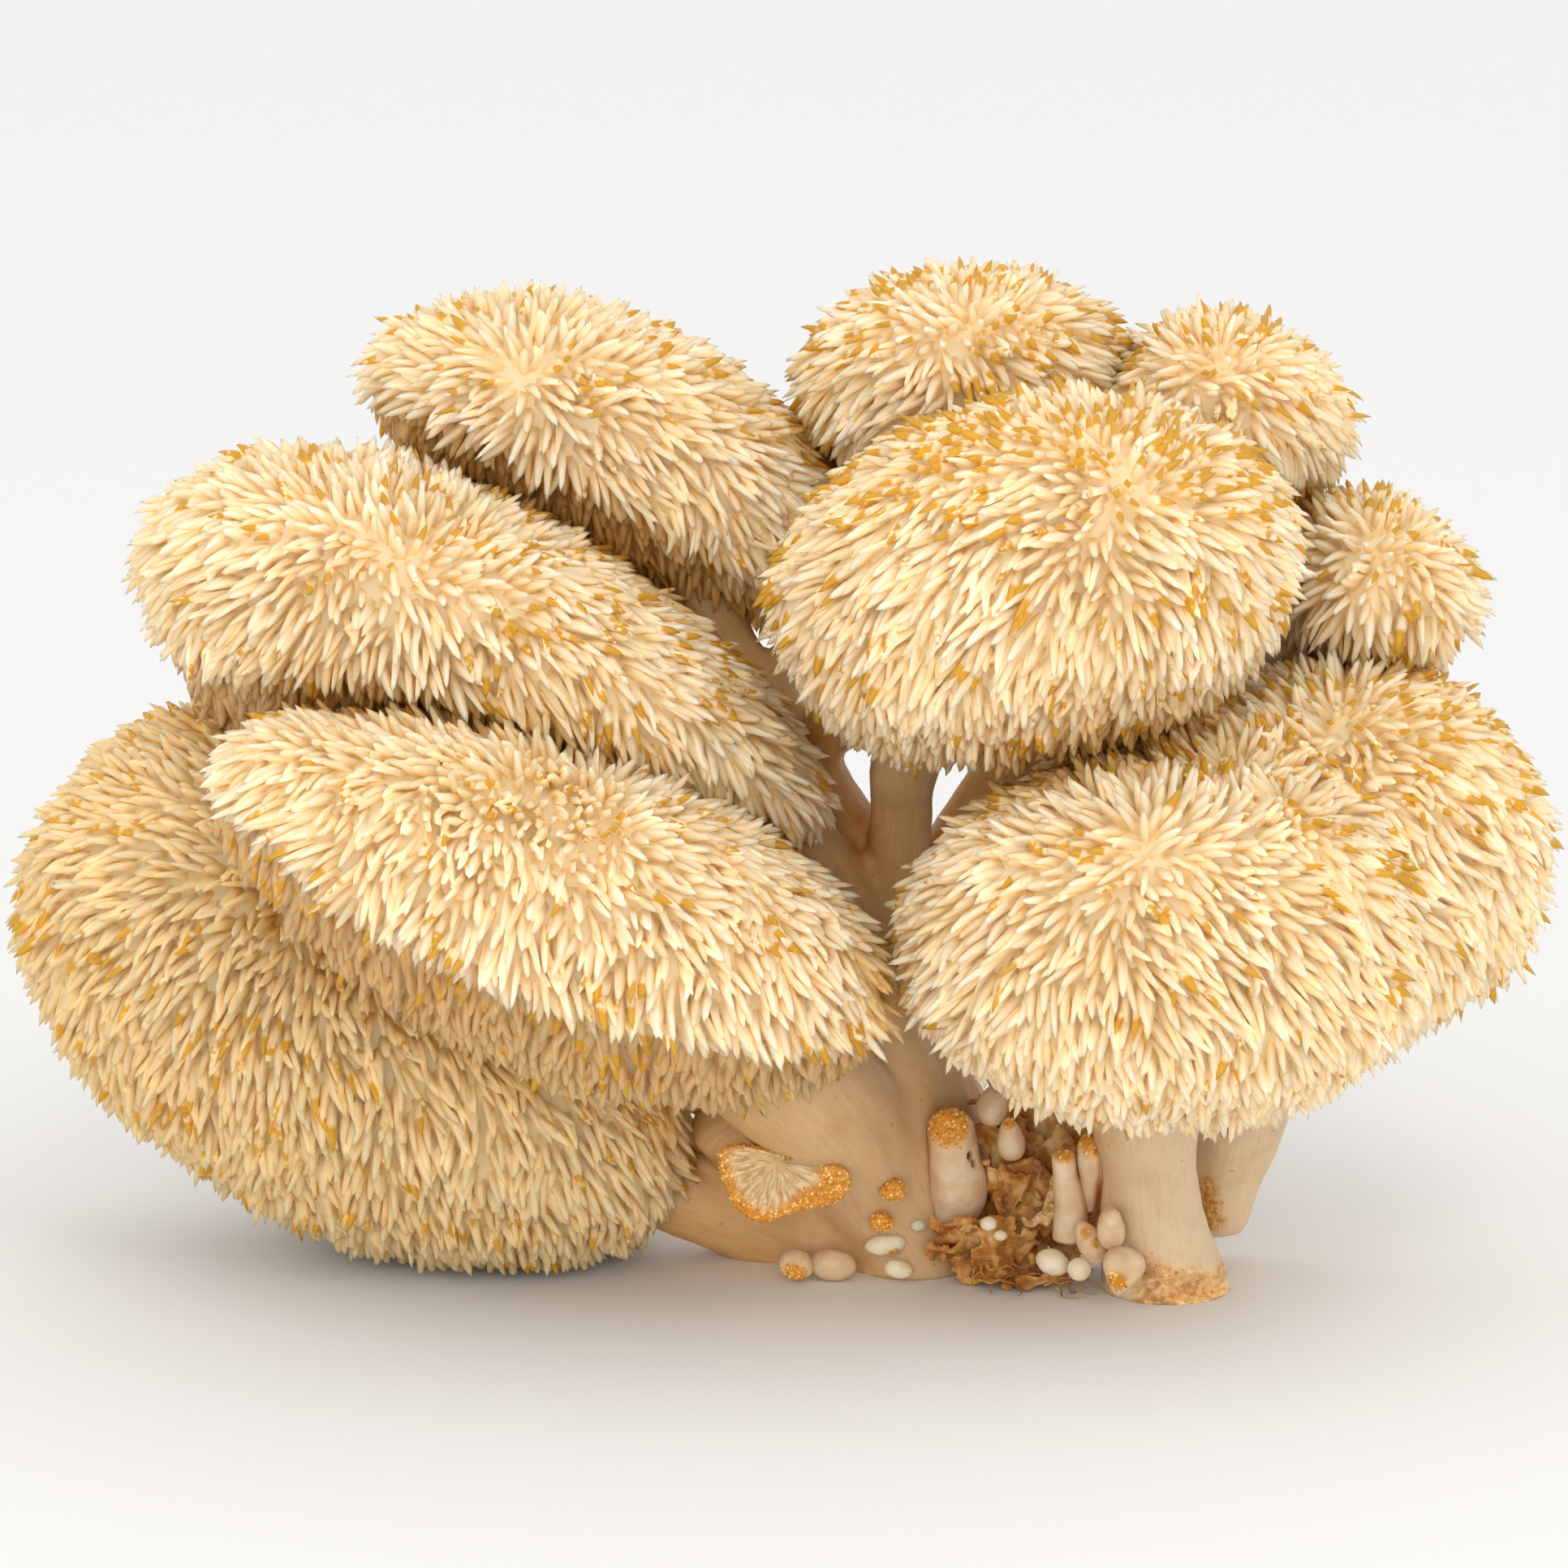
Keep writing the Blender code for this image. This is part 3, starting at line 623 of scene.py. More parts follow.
def hemisphere(count):
    """Directions spread evenly over a half sphere, more of them near its pole."""
    spokes = []
    for number in range(count):
        lift = math.sqrt(1 - (number + 0.5) / count)
        flat = math.sqrt(max(0.0, 1 - lift * lift))
        swing = number * GOLDEN_ANGLE
        spokes.append(Vector((flat * math.cos(swing), flat * math.sin(swing), lift)))
    return spokes


def store_nooks(mesh, tree, start_mm, reach_mm):
    """Stores how closed in each point of a mesh is by the pieces round it, from 0 in the open to 1."""
    spokes = hemisphere(NOOK_RAYS)
    values = []
    for vertex in mesh.vertices:
        turn = vertex.normal.to_track_quat("Z", "Y")
        start = vertex.co + vertex.normal * start_mm * MM
        closed = 0.0
        for spoke in spokes:
            hit = tree.ray_cast(start, turn @ spoke, reach_mm * MM)
            if hit[0] is not None:
                closed += 1 - hit[3] / (reach_mm * MM)
        values.append(closed / len(spokes))
    put_values(mesh, "nook", values)


def tree_of(meshes):
    corners, sides = [], []
    for mesh in meshes:
        start = len(corners)
        corners += [vertex.co.copy() for vertex in mesh.vertices]
        sides += [[start + corner for corner in face.vertices] for face in mesh.polygons]
    return BVHTree.FromPolygons(corners, sides)


def comb_spines(core, caps):
    """Stores on a core which way its spines lean, how long they are, how they droop, and their gold."""
    mesh = core.data
    points, normals = rows_of(mesh, "co"), rows_of(mesh, "normal")
    crowns = np.array([shifted(cap.comb) for cap in caps])
    halves = np.array([max(cap.length, 50) / 2 * MM for cap in caps])
    reach = np.linalg.norm(points[:, None] - crowns[None], axis=2) / halves[None]
    nearest = reach.argmin(axis=1)
    reach = reach.min(axis=1)
    down = np.tile((0.0, 0.0, -1.0), (len(points), 1))
    up = np.clip(normals[:, 2], -1, 1)
    tier = np.zeros(len(points))
    if "tier" in mesh.attributes:
        mesh.attributes["tier"].data.foreach_get("value", tier)

    # Away from the crown and downward, turned here and there by tufts and swirls
    flow = unit(along_skin(points - crowns[nearest], normals)) + along_skin(down, normals) * HANG
    tuft, swirl, small_tuft = (sway_at(points, size) for size in (TUFT, SWIRL, SMALL_TUFT))
    stray = (tuft * 0.7 + swirl * 0.6) * (1.2 - 0.4 * smooth_step(reach, 0.1, 0.6))[:, None]
    flow = unit(unit(flow) + along_skin(stray, normals))
    lie = LIE_AT_CROWN + LIE_AT_MARGIN * smooth_step(reach, 0.1, 0.8) + LIE_BELOW * smooth_step(0.3 - up, 0, 0.4)
    lie = np.radians(lie)[:, None]
    lean = normals * np.cos(lie) + flow * np.sin(lie)
    below = np.maximum(smooth_step(-up, 0.1, 0.6) * 0.6, tier * 0.8)[:, None]
    lean = unit(unit(lean * (1 - below) + down * below) + tuft * 0.25 + small_tuft * 0.25)
    put_values(mesh, "lean", lean)
    put_values(mesh, "droop", down * (0.2 * (1 - np.abs(lean[:, 2:]))) + tuft * 0.12)

    # Shorter on top and underneath than at the margin
    top = smooth_step(up, 0.2, 0.75)
    margin = np.exp(-((up + 0.1) / 0.3) ** 2)
    length = 0.92 - 0.14 * top + 0.06 * margin - 0.3 * np.maximum(smooth_step(-up, 0.3, 0.7), tier)
    gold = np.array([cap.gold for cap in caps])[nearest]
    put_values(mesh, "long", length)
    put_values(mesh, "gilt", gold[:, 0] + gold[:, 1] * top + gold[:, 2] * margin)
    # How much darker beige the cap is painted, as painted shade
    put_values(mesh, "ripe", np.array([cap.ripe for cap in caps])[nearest])


def spine_tree(material):
    """Geometry nodes that stand tapered spines on a core and bend them."""
    tree, add, given = new_group("lions_mane_spines", "Cap", {
        "Spine Length": SPINE_LENGTH, "Spine Width": SPINE_WIDTH, "Spine Spacing": SPINE_SPACING,
    })
    kept = {
        name: add("GeometryNodeInputNamedAttribute", {"data_type": kind}, {"Name": name})
        for kind, names in (("FLOAT_VECTOR", ("lean", "droop", "bend")), ("FLOAT", ("long", "gilt", "along")))
        for name in names
    }
    chance = {
        name: add(*ANY_NUMBER, {2: low, 3: high, "Seed": seed})
        for name, low, high, seed in (("turn", 0.0, 6.283, 11), ("length", 0.7, 1.15, 23), ("width", 0.42, 0.58, 31),
                                      ("stain", 0.0, 0.34, 47), ("tint", 0.0, 1.0, 59))
    }
    stray, curl = (
        add(*ANY_VECTOR, {"Min": (-most,) * 3, "Max": (most,) * 3, "Seed": seed})
        for most, seed in ((0.2, 7), (0.0011, 71))
    )
    points = add(*SCATTER, {
        "Mesh": given["Cap"], "Distance Min": given["Spine Spacing"], "Density Max": 1800000.0,
        "Seed": given["Seed"],
    })

    # Which way each spine points, and its size
    way = add(*ADD_VECTORS, {0: kept["lean"], 1: stray})
    aim = add("FunctionNodeAlignRotationToVector", {"axis": "Z"}, {"Vector": way})
    about = add("FunctionNodeAxisAngleToRotation", None, {"Axis": (0, 0, 1), "Angle": chance["turn"]})
    turn = add("FunctionNodeRotateRotation", {"rotation_space": "LOCAL"}, {
        "Rotation": aim, "Rotate By": about,
    })
    tall = add(*TIMES, {0: kept["long"], 1: chance["length"]})
    tall = add(*TIMES, {0: tall, 1: given["Spine Length"]})
    wide = add(*TIMES, {0: given["Spine Width"], 1: chance["width"]})
    thin = add(*TIMES, {0: wide, 1: 0.76})
    scale = add("ShaderNodeCombineXYZ", None, {"X": wide, "Y": thin, "Z": tall})

    # One spine: a cone whose rings are moved up and swollen, so that it ends in a blunt finger
    cone = add("GeometryNodeMeshCone", {"fill_type": "NGON"}, {
        "Vertices": SPINE_SIDES, "Side Segments": SPINE_RINGS, "Fill Segments": 1,
        "Radius Top": 0.0, "Radius Bottom": 1.0, "Depth": 1.0,
    })
    spot = add("GeometryNodeInputPosition")
    cut = add("ShaderNodeSeparateXYZ", None, {0: spot}).outputs
    left = add(*MINUS, {0: 1.0, 1: cut["Z"]})
    left = add(*POWER, {0: left, 1: 1.6})
    high = add(*MINUS, {0: 1.0, 1: left})
    swell = add(*TIMES_PLUS, {0: cut["Z"], 1: 1.05, 2: 1.0})
    across = add(*TIMES, {0: cut["X"], 1: swell})
    deep = add(*TIMES, {0: cut["Y"], 1: swell})
    sunk = add(*MINUS, {0: high, 1: 0.12})
    finger = add("ShaderNodeCombineXYZ", None, {"X": across, "Y": deep, "Z": sunk})
    marked = add(*KEEP_NUMBER, {"Geometry": cone, "Name": "along", "Value": high})
    spine = add("GeometryNodeSetPosition", None, {"Geometry": marked, "Position": finger})

    # Golden stain comes in patches about a centimetre across, on some of the spines there
    patch = add(*CLOUDS, {"Vector": spot, "Scale": 1 / (GOLD_PATCH * MM), "Detail": 2.0, "Roughness": 0.55})
    stain = add(*PLUS, {0: chance["stain"], 1: patch})
    stain = add(*PLUS, {0: stain, 1: kept["gilt"]})
    bend = add(*SCALE_VECTOR, {0: kept["droop"], "Scale": tall})
    bend = add(*ADD_VECTORS, {0: bend, 1: curl})
    for kind, name, value in (
        (KEEP_NUMBER, "stain", stain), (KEEP_NUMBER, "tint", chance["tint"]), (KEEP_VECTOR, "bend", bend),
    ):
        points = add(*kind, {"Geometry": points, "Name": name, "Value": value})

    # Stood on the core and bent, more towards the tip
    stood = add("GeometryNodeInstanceOnPoints", None, {
        "Points": points, "Instance": spine, "Rotation": turn, "Scale": scale,
    })
    real = add("GeometryNodeRealizeInstances", None, {"Geometry": stood})
    square = add(*POWER, {0: kept["along"], 1: 2.0})
    shift = add(*SCALE_VECTOR, {0: kept["bend"], "Scale": square})
    curved = add("GeometryNodeSetPosition", None, {"Geometry": real, "Offset": shift})
    both = add("GeometryNodeJoinGeometry", None, {0: [given["Cap"], curved]})
    smooth = add("GeometryNodeSetShadeSmooth", None, {"Geometry": both})
    coated = add("GeometryNodeSetMaterial", None, {"Geometry": smooth, "Material": material})
    add("NodeGroupOutput", None, {"Cap": coated})
    return tree


def run_nodes(piece, tree, seed):
    """Runs a node tree on a piece with this seed and keeps the result as a plain mesh."""
    change = piece.modifiers.new("made", "NODES")
    change.node_group = tree
    sockets = {item.name: item.identifier for item in tree.interface.items_tree}
    change[sockets["Seed"]] = seed
    bake_modifiers(piece)


def rest_on_ground(mesh, lowest_mm):
    """Presses what would reach below the ground flat onto it."""
    points = rows_of(mesh, "co")
    low = points[:, 2] < lowest_mm * MM
    points[low, 2] = (lowest_mm + 0.04 * (points[low, 2] / MM - lowest_mm)) * MM
    points[:, 2] = np.maximum(points[:, 2], ON_GROUND * MM)
    set_points(mesh, points)


# Stems

def line_through(knots, steps=10):
    """Points and radii along a smooth line through the knots, in millimetres."""
    knots = np.array(knots, dtype=float)
    row = np.vstack([2 * knots[0] - knots[1], knots, 2 * knots[-1] - knots[-2]])
    row[:, 3] = np.maximum(row[:, 3], 0.2)
    line = []
    for number in range(1, len(row) - 2):
        a, b, c, d = row[number - 1:number + 3]
        for step in range(steps):
            t = step / steps
            line.append(0.5 * (2 * b + (c - a) * t + (2 * a - 5 * b + 4 * c - d) * t ** 2
                               + (3 * b - a - 3 * c + d) * t ** 3))
    line.append(row[-2])
    return np.array(line)


def line_frames(line):
    """Directions along, to the front of, and across a line at each of its points."""
    along = unit(np.gradient(line[:, :3], axis=0))
    front = unit(along_skin(np.tile((0.0, -1.0, 0.0), (len(line), 1)), along))
    return along, front, np.cross(along, front)


def tube(line, sides=20):
    """Points in metres in the part's frame and faces of a closed tube along a line."""
    along, front, across = line_frames(line)
    points = []
    for spot, ahead, aside in zip(line, front, across):
        for step in range(sides):
            angle = 2 * math.pi * step / sides
            points.append(spot[:3] + (ahead * math.cos(angle) + aside * math.sin(angle)) * spot[3])
    points.append(line[0, :3] - along[0] * line[0, 3] * 0.5)
    points.append(line[-1, :3] + along[-1] * line[-1, 3] * 0.5)
    faces = ring_faces(0, len(line), sides, (len(points) - 2, len(points) - 1))
    return (np.array(points) + np.array(CLUSTER_AT)) * MM, faces


def grown_together(name, parts, voxel_mm, smoothing):
    """One closed skin round all the parts, each given as points and faces."""
    skin = joined([closed_piece(name, points, faces) for points, faces in parts])
    skin.name = name
    add_modifier(skin, "skin", "REMESH", mode="VOXEL", voxel_size=voxel_mm * MM)
    add_modifier(skin, "smooth", "SMOOTH", factor=0.5, iterations=smoothing)
    bake_modifiers(skin)
    return skin


def cut_at_ground(piece):
    """Cuts a piece off flat at the ground and closes the cut."""
    bm = bmesh.new()
    bm.from_mesh(piece.data)
    bmesh.ops.bisect_plane(
        bm, geom=bm.verts[:] + bm.edges[:] + bm.faces[:], dist=0.00001,
        plane_co=(0, 0, 0.0), plane_no=(0, 0, 1), clear_inner=True,
    )
    rims = [edge for edge in bm.edges if edge.is_boundary]
    bmesh.ops.triangle_fill(bm, edges=rims, use_beauty=True, use_dissolve=False)
    face_outward(bm)
    bm.to_mesh(piece.data)
    bm.free()


def fibre_places(points, lines):
    """How near points are to each stem's line, and where they lie round and along it in millimetres."""
    points = in_table(points)
    nearness, places = [], []
    for line in lines:
        along, front, across = line_frames(line)
        lengths = np.concatenate([[0], np.cumsum(np.linalg.norm(np.diff(line[:, :3], axis=0), axis=1))])
        gap = points[:, None] - line[None, :, :3]
        closest = (gap ** 2).sum(axis=2).argmin(axis=1)
        gap = gap[np.arange(len(points)), closest]
        radius = line[closest, 3]
        turn = np.arctan2((gap * across[closest]).sum(axis=1), (gap * front[closest]).sum(axis=1))
        run = lengths[closest] + (gap * along[closest]).sum(axis=1)
        nearness.append(np.linalg.norm(gap, axis=1) / radius)
        places.append(np.stack([np.cos(turn) * radius, np.sin(turn) * radius, run], axis=1))
    return np.array(nearness), np.array(places)


def mark(points, spots):
    """How strongly each point in metres is marked by spots, each given as middle and radius in millimetres."""
    marked = np.zeros(len(points))
    where = in_table(points)
    for spot in spots:
        gap = np.linalg.norm(where - np.array(spot[:3]), axis=1) / spot[3]
        marked = np.maximum(marked, 1 - smooth_step(gap, 0.55, 1.0))
    return marked


def make_stems(name, names, material, around):
    """Stems that grew as one, with long fibres, slow lumps, and the torn foot where there is one."""
    lines = [line_through(STEMS[each]) for each in names]
    webs = [line_through(knots) for knots in WEBS] if "trunk" in names else []
    skin = grown_together(name, [tube(line, 24) for line in lines + webs], STEM_VOXEL, 14)
    cut_at_ground(skin)
    mesh = skin.data
    store_nooks(mesh, around, *STEM_NOOK)
    points, normals = rows_of(mesh, "co"), rows_of(mesh, "normal")
    nearness, places = fibre_places(points, lines)
    weights = np.exp(-7 * (nearness - nearness.min(axis=0)))
    weights /= weights.sum(axis=0)
    ridges = np.zeros(len(points))
    for weight, place in zip(weights, places):
        for number in np.nonzero(weight > 0.04)[0]:
            x, y, z = place[number]
            broad = noise.noise(Vector((x / 2.2, y / 2.2, z / 26)))
            narrow = noise.noise(Vector((x / 0.9, y / 0.9, z / 15 + 9)))
            ridges[number] += weight[number] * (broad + 0.5 * narrow)
    push = ridges * 0.22 + noise_at(points, 9, 3) * 0.5 + noise_at(points, 3.2, 4) * 0.12
    pit = mark(points, PITS)
    torn, crust = torn_foot(points, normals) if "stem_front_right" in names else (np.zeros(len(points)),) * 2
    rough = noise_at(points, 1.3, 5) + 0.6 * noise_at(points, 0.7, 6)
    push += torn * (rough * 0.6 - 1.9) + crust * (0.5 + 0.6 * rough) - pit * 1.6
    foot = smooth_step(points[:, 2] / MM, 0.0, 1.2)
    points += normals * (push * foot * MM)[:, None]
    set_points(mesh, points)
    x, y, z = in_table(points).T
    # Painted light and shade: darker beige to the left and up into the fork under the caps, paler ivory to the right
    # and at the front, where the light falls
    pale = np.maximum(smooth_step(x + 0.25 * (30 - z), 12, 70), 0.55 * smooth_step(-y, -6, 8) * smooth_step(x, -8, 6))
    put_values(mesh, "grain", places[nearness.argmin(axis=0), np.arange(len(points))])
    put_values(mesh, "torn", torn)
    put_values(mesh, "crust", np.maximum(crust, mark(points, CRUSTS)))
    put_values(mesh, "dark", np.maximum(pit, mark(points, SPECKS)))
    put_values(mesh, "pale", pale)
    mesh.shade_smooth()
    mesh.materials.append(material)
    return skin


def torn_foot(points, normals):
    """How torn and how crusted the front right stem's foot is at each point."""
    x, _, z = in_table(points).T
    rim = np.interp(x, RIM_PLACES, RIM_HEIGHTS) + 1.5 * noise_at(points, 2.6, 7) + 0.7 * noise_at(points, 1.1, 9)
    front = smooth_step(-normals[:, 1], -0.15, 0.35) * smooth_step(x, 54.5, 56.5)
    return smooth_step(rim - z, 0.0, 0.9) * front, np.exp(-((z - rim - 0.5) / 0.9) ** 2) * front


# Young growth

def ball(at, turn, half, taper, detail=4):
    """Points in metres and faces of a rounded bud that is slimmer to its top by taper."""
    bm = bmesh.new()
    bmesh.ops.create_icosphere(bm, subdivisions=detail, radius=1)
    place = turned(turn)
    points = []
    for vertex in bm.verts:
        slim = 1 - taper * vertex.co.z
        local = Vector((vertex.co.x * slim * half[0], vertex.co.y * slim * half[1], vertex.co.z * half[2]))
        points.append(shifted(Vector(at) + place @ local))
    faces = [[corner.index for corner in face.verts] for face in bm.faces]
    bm.free()
    return points, faces


def make_bud(name, material, granules, around):
    """A bud or bead with soft lumps and its golden grainy places."""
    parts = [tube(line_through(STALKS[name]), 20)] if name in STALKS else [ball(*BUDS[name])]
    if name in SWELLINGS:
        parts.append(ball(*SWELLINGS[name]))
    skin = grown_together(name + "_grown", parts, BUD_VOXEL, 4)
    mesh = skin.data
    points = rows_of(mesh, "co")
    golden = mark(points, GOLDEN_SPOTS.get(name, ()))
    slit = mark(points, SLITS.get(name, ()))
    push_out(mesh, noise_at(points, 2.6, 8) * 0.16 + noise_at(points, 1.1, 9) * 0.04 + golden * 0.12 - slit * 0.9)
    put_values(mesh, "golden", golden)
    put_values(mesh, "dark", np.maximum(slit, mark(rows_of(mesh, "co"), SPECKS)))
    store_nooks(mesh, around, *BUD_NOOK)
    mesh.materials.append(material)
    run_nodes(skin, granules, len(name))
    return skin


def granule_tree(material):
    """Geometry nodes that set golden granules where a bud or cap is golden."""
    tree, add, given = new_group("golden_granules", "Bud", {
        "Granule Spacing": GRANULE_SPACING, "Granule Radius": GRANULE_RADIUS,
    })
    golden = add("GeometryNodeInputNamedAttribute", {"data_type": "FLOAT"}, {"Name": "golden"})
    points = add(*SCATTER, {
        "Mesh": given["Bud"], "Distance Min": given["Granule Spacing"], "Density Max": 9000000.0,
        "Density Factor": golden, "Seed": given["Seed"],
    })
    size = add(*ANY_NUMBER, {2: 0.55, 3: 1.15, "Seed": 3})
    tint = add(*ANY_NUMBER, {2: 0.0, 3: 1.0, "Seed": 5})
    points = add(*KEEP_NUMBER, {"Geometry": points, "Name": "tint", "Value": tint})
    grain = add("GeometryNodeMeshIcoSphere", None, {"Radius": given["Granule Radius"], "Subdivisions": 2})
    stood = add("GeometryNodeInstanceOnPoints", None, {"Points": points, "Instance": grain, "Scale": size})
    real = add("GeometryNodeRealizeInstances", None, {"Geometry": stood})
    coated = add("GeometryNodeSetMaterial", None, {"Geometry": real, "Material": material})
    both = add("GeometryNodeJoinGeometry", None, {0: [coated, given["Bud"]]})
    smooth = add("GeometryNodeSetShadeSmooth", None, {"Geometry": both})
    add("NodeGroupOutput", None, {"Bud": smooth})
    return tree


def rim_reach(angle):
    """Distance from the young cap's middle to its rim in a direction, in millimetres."""
    middle = Vector(YOUNG_MIDDLE)
    ray = Vector((math.cos(angle), math.sin(angle)))
    reach = 0.0
    for number, corner in enumerate(YOUNG_RIM):
        first = Vector(corner) - middle
        edge = Vector(YOUNG_RIM[(number + 1) % len(YOUNG_RIM)]) - middle - first
        cross = ray.cross(edge)
        if abs(cross) > 1e-9 and 0 <= first.cross(ray) / cross <= 1:
            reach = max(reach, first.cross(edge) / cross)
    return reach


def make_young_cap(material, granules, around):
    """Small fan with a hollow middle, fine folds that fan out, and a grainy golden rim."""
    spokes, rings = YOUNG_SPOKES, YOUNG_RINGS
    points, faces, golden, fan = [], [], [], []
    reaches = [rim_reach(2 * math.pi * number / spokes) for number in range(spokes)]
    reaches = [sum(reaches[(number + step) % spokes] for step in (-2, -1, 0, 1, 2)) / 5 for number in range(spokes)]
    for ring in range(rings):
        # Over the front from the middle to the rim, then round it and back behind to the stalk
        turn = ring / (rings - 1)
        ahead, behind = min(1.0, turn / YOUNG_TURN), max(0.0, (turn - YOUNG_TURN) / (1 - YOUNG_TURN))
        share = min(1.0, ahead - behind ** 1.6 * 0.8)
        if behind:
            depth = -1.5 + 6.5 * behind ** 1.1
        else:
            depth = -1.5 * ahead ** 2 - math.sin(math.pi * ahead ** 1.6) * 0.9
        for number in range(spokes):
            angle = 2 * math.pi * number / spokes
            x, y = math.cos(angle), math.sin(angle)
            spot = Vector((x, y)) * reaches[number] * share + Vector(YOUNG_MIDDLE)
            folds = noise.noise(Vector((x * 7, y * 7, share * 0.8))) * 0.35 * share
            ruffle = noise.noise(Vector((x * 1.7, y * 1.7, 4))) * 1.3 * share
            points.append(shifted((spot.x, YOUNG_DEPTH + depth + folds + ruffle, spot.y)))
            start = 0.78 - 0.1 * smooth_step(0.6 * abs(x) - y, -0.4, 0.8) - 0.2 * smooth_step(x, 0.1, 0.8)
            golden.append(smooth_step(share, start, start + 0.2) if turn < 0.8 else 0.0)
            fan.append((angle * 6, share * 3, 0.0))
    for ring in range(rings - 1):
        for number in range(spokes):
            beside = (number + 1) % spokes
            low, high = ring * spokes, (ring + 1) * spokes
            faces.append((low + number, low + beside, high + beside, high + number))
    last = (rings - 1) * spokes
    points.append(shifted((YOUNG_MIDDLE[0], YOUNG_DEPTH + 0.4, YOUNG_MIDDLE[1])))
    points.append(shifted((YOUNG_MIDDLE[0], YOUNG_DEPTH + 8.0, YOUNG_MIDDLE[1] - 3)))
    golden += [0.0, 0.0]
    fan += [(0.0, 0.0, 0.0)] * 2
    for number in range(spokes):
        beside = (number + 1) % spokes
        faces.append((number, beside, len(points) - 2))
        faces.append((last + number, last + beside, len(points) - 1))
    cap = closed_piece("young_cap_fan", points, faces, golden=golden, fan=fan)
    store_nooks(cap.data, around, *BUD_NOOK)
    cap.data.materials.append(material)
    run_nodes(cap, granules, 4)
    return cap


# Husk

def crumpled_sheet(at, turn, size, crumple, seed):
    """A thin torn sheet with creases, as an object."""
    columns, rows = SHEET_COLUMNS, SHEET_ROWS
    place = turned(turn)
    points, kept = [], []
    for row in range(rows):
        for column in range(columns):
            u, v = column / (columns - 1) - 0.5, row / (rows - 1) - 0.5
            spot = Vector((u * size[0] / 4.5, v * size[1] / 4.5, seed * 1.7))
            crease = abs(noise.noise(spot * 0.9)) * 2 - 0.5 + 0.6 * abs(noise.noise(spot * 2.1)) * 2 - 0.3
            fold = noise.noise(spot) + 0.6 * crease + 0.1 * noise.noise(spot * 5)
            edge = (abs(2 * u) ** 3 + abs(2 * v) ** 3) ** (1 / 3)
            ragged = edge + 0.42 * noise.noise(spot * 1.6 + Vector((7, 0, 0))) + 0.14 * noise.noise(spot * 6)
            hole = noise.noise(spot * 1.5 + Vector((0, 9, 0)))
            kept.append(ragged < 0.95 and hole > -0.5)
            swell = 1.12 + 0.2 * noise.noise(spot * 1.3)
            local = Vector((u * size[0] * swell, fold * crumple, v * size[1] * swell))
            point = shifted(Vector(at) + place @ local)
            point.z = max(point.z, 0.4 * MM)
            points.append(point)
    faces = []
    for row in range(rows - 1):
        for column in range(columns - 1):
            corner = row * columns + column
            corners = (corner, corner + 1, corner + columns + 1, corner + columns)
            if all(kept[number] for number in corners):
                faces.append(corners)
    mesh = mesh_from("sheet", points, faces)
    bm = bmesh.new()
    bm.from_mesh(mesh)
    bmesh.ops.delete(bm, geom=[vertex for vertex in bm.verts if not vertex.link_faces], context="VERTS")
    bm.to_mesh(mesh)
    bm.free()
    piece = link_object("sheet", mesh)
    add_modifier(piece, "thickness", "SOLIDIFY", thickness=SHEET_THICKNESS * MM, offset=0)
    bake_modifiers(piece)
    return piece


def thread(start, seed, length_mm, chance):
    """A dry thread that wanders along the ground, as a thin tube."""
    heading = Vector((chance.uniform(-1, 1), chance.uniform(-0.8, 0.1), chance.uniform(-0.2, 0.5))).normalized()
    spot = Vector(start)
    line = []
    for step in range(THREAD_STEPS):
        line.append((*spot, chance.uniform(0.1, 0.2) * (1.2 - step / THREAD_STEPS)))
        heading = (heading + noise.noise_vector(spot * 0.45 + Vector((seed, 0, 0))) * 0.8).normalized()
        heading.z -= 0.1
        spot = spot + heading * length_mm / THREAD_STEPS
        spot.z = max(0.35, spot.z)
    return tube(np.array(line), 6)


def make_husk(name, sheets, material, around):
    """Crumpled sheets with crumbs and, at the ground, fine threads."""
    pieces = [crumpled_sheet(*sheet) for sheet in sheets]
    chance = random.Random(name)
    for number in range(THREADS if name == "husk_skirt" else 0):
        start = (chance.uniform(29, 47), chance.uniform(-13, -7), chance.uniform(0.5, 4.5))
        pieces.append(closed_piece("thread", *thread(start, number, chance.uniform(5, 10), chance)))
    for number in range(CRUMBS):
        at, _, size, _, _ = sheets[number % len(sheets)]
        spot = Vector(at) + Vector((chance.uniform(-0.5, 0.5) * size[0], chance.uniform(-2.5, 0.5),
                                    chance.uniform(-0.5, 0.5) * size[1]))
        spot.z = max(0.8, spot.z)
        half = [chance.uniform(0.4, 1.1) for _ in range(3)]
        points, faces = ball(spot, [chance.uniform(0, 180) for _ in range(3)], half, 0, 2)
        points = [point + (point - shifted(spot)) * 0.5 * noise.noise(point * 900) for point in points]
        pieces.append(closed_piece("crumb", points, faces))
    husk = joined(pieces)
    husk.name = name + "_crumpled"
    mesh = husk.data
    push_out(mesh, np.zeros(len(mesh.vertices)))
    store_nooks(mesh, around, *HUSK_NOOK)
    mesh.shade_smooth()
    mesh.materials.clear()
    mesh.materials.append(material)
    return husk


def make_strip(material, around):
    """Pale rough strip of dried flesh across the husk."""
    strip = grown_together("husk_strip_dried", [tube(line_through(HUSK_STRIP, 8), 14)], STRIP_VOXEL, 2)
    mesh = strip.data
    points = rows_of(mesh, "co")
    push_out(mesh, noise_at(points, 1.5, 3) * 0.75 + noise_at(points, 0.7, 4) * 0.35)
    store_nooks(mesh, around, *HUSK_NOOK)
    mesh.shade_smooth()
    mesh.materials.append(material)
    return strip


# Materials

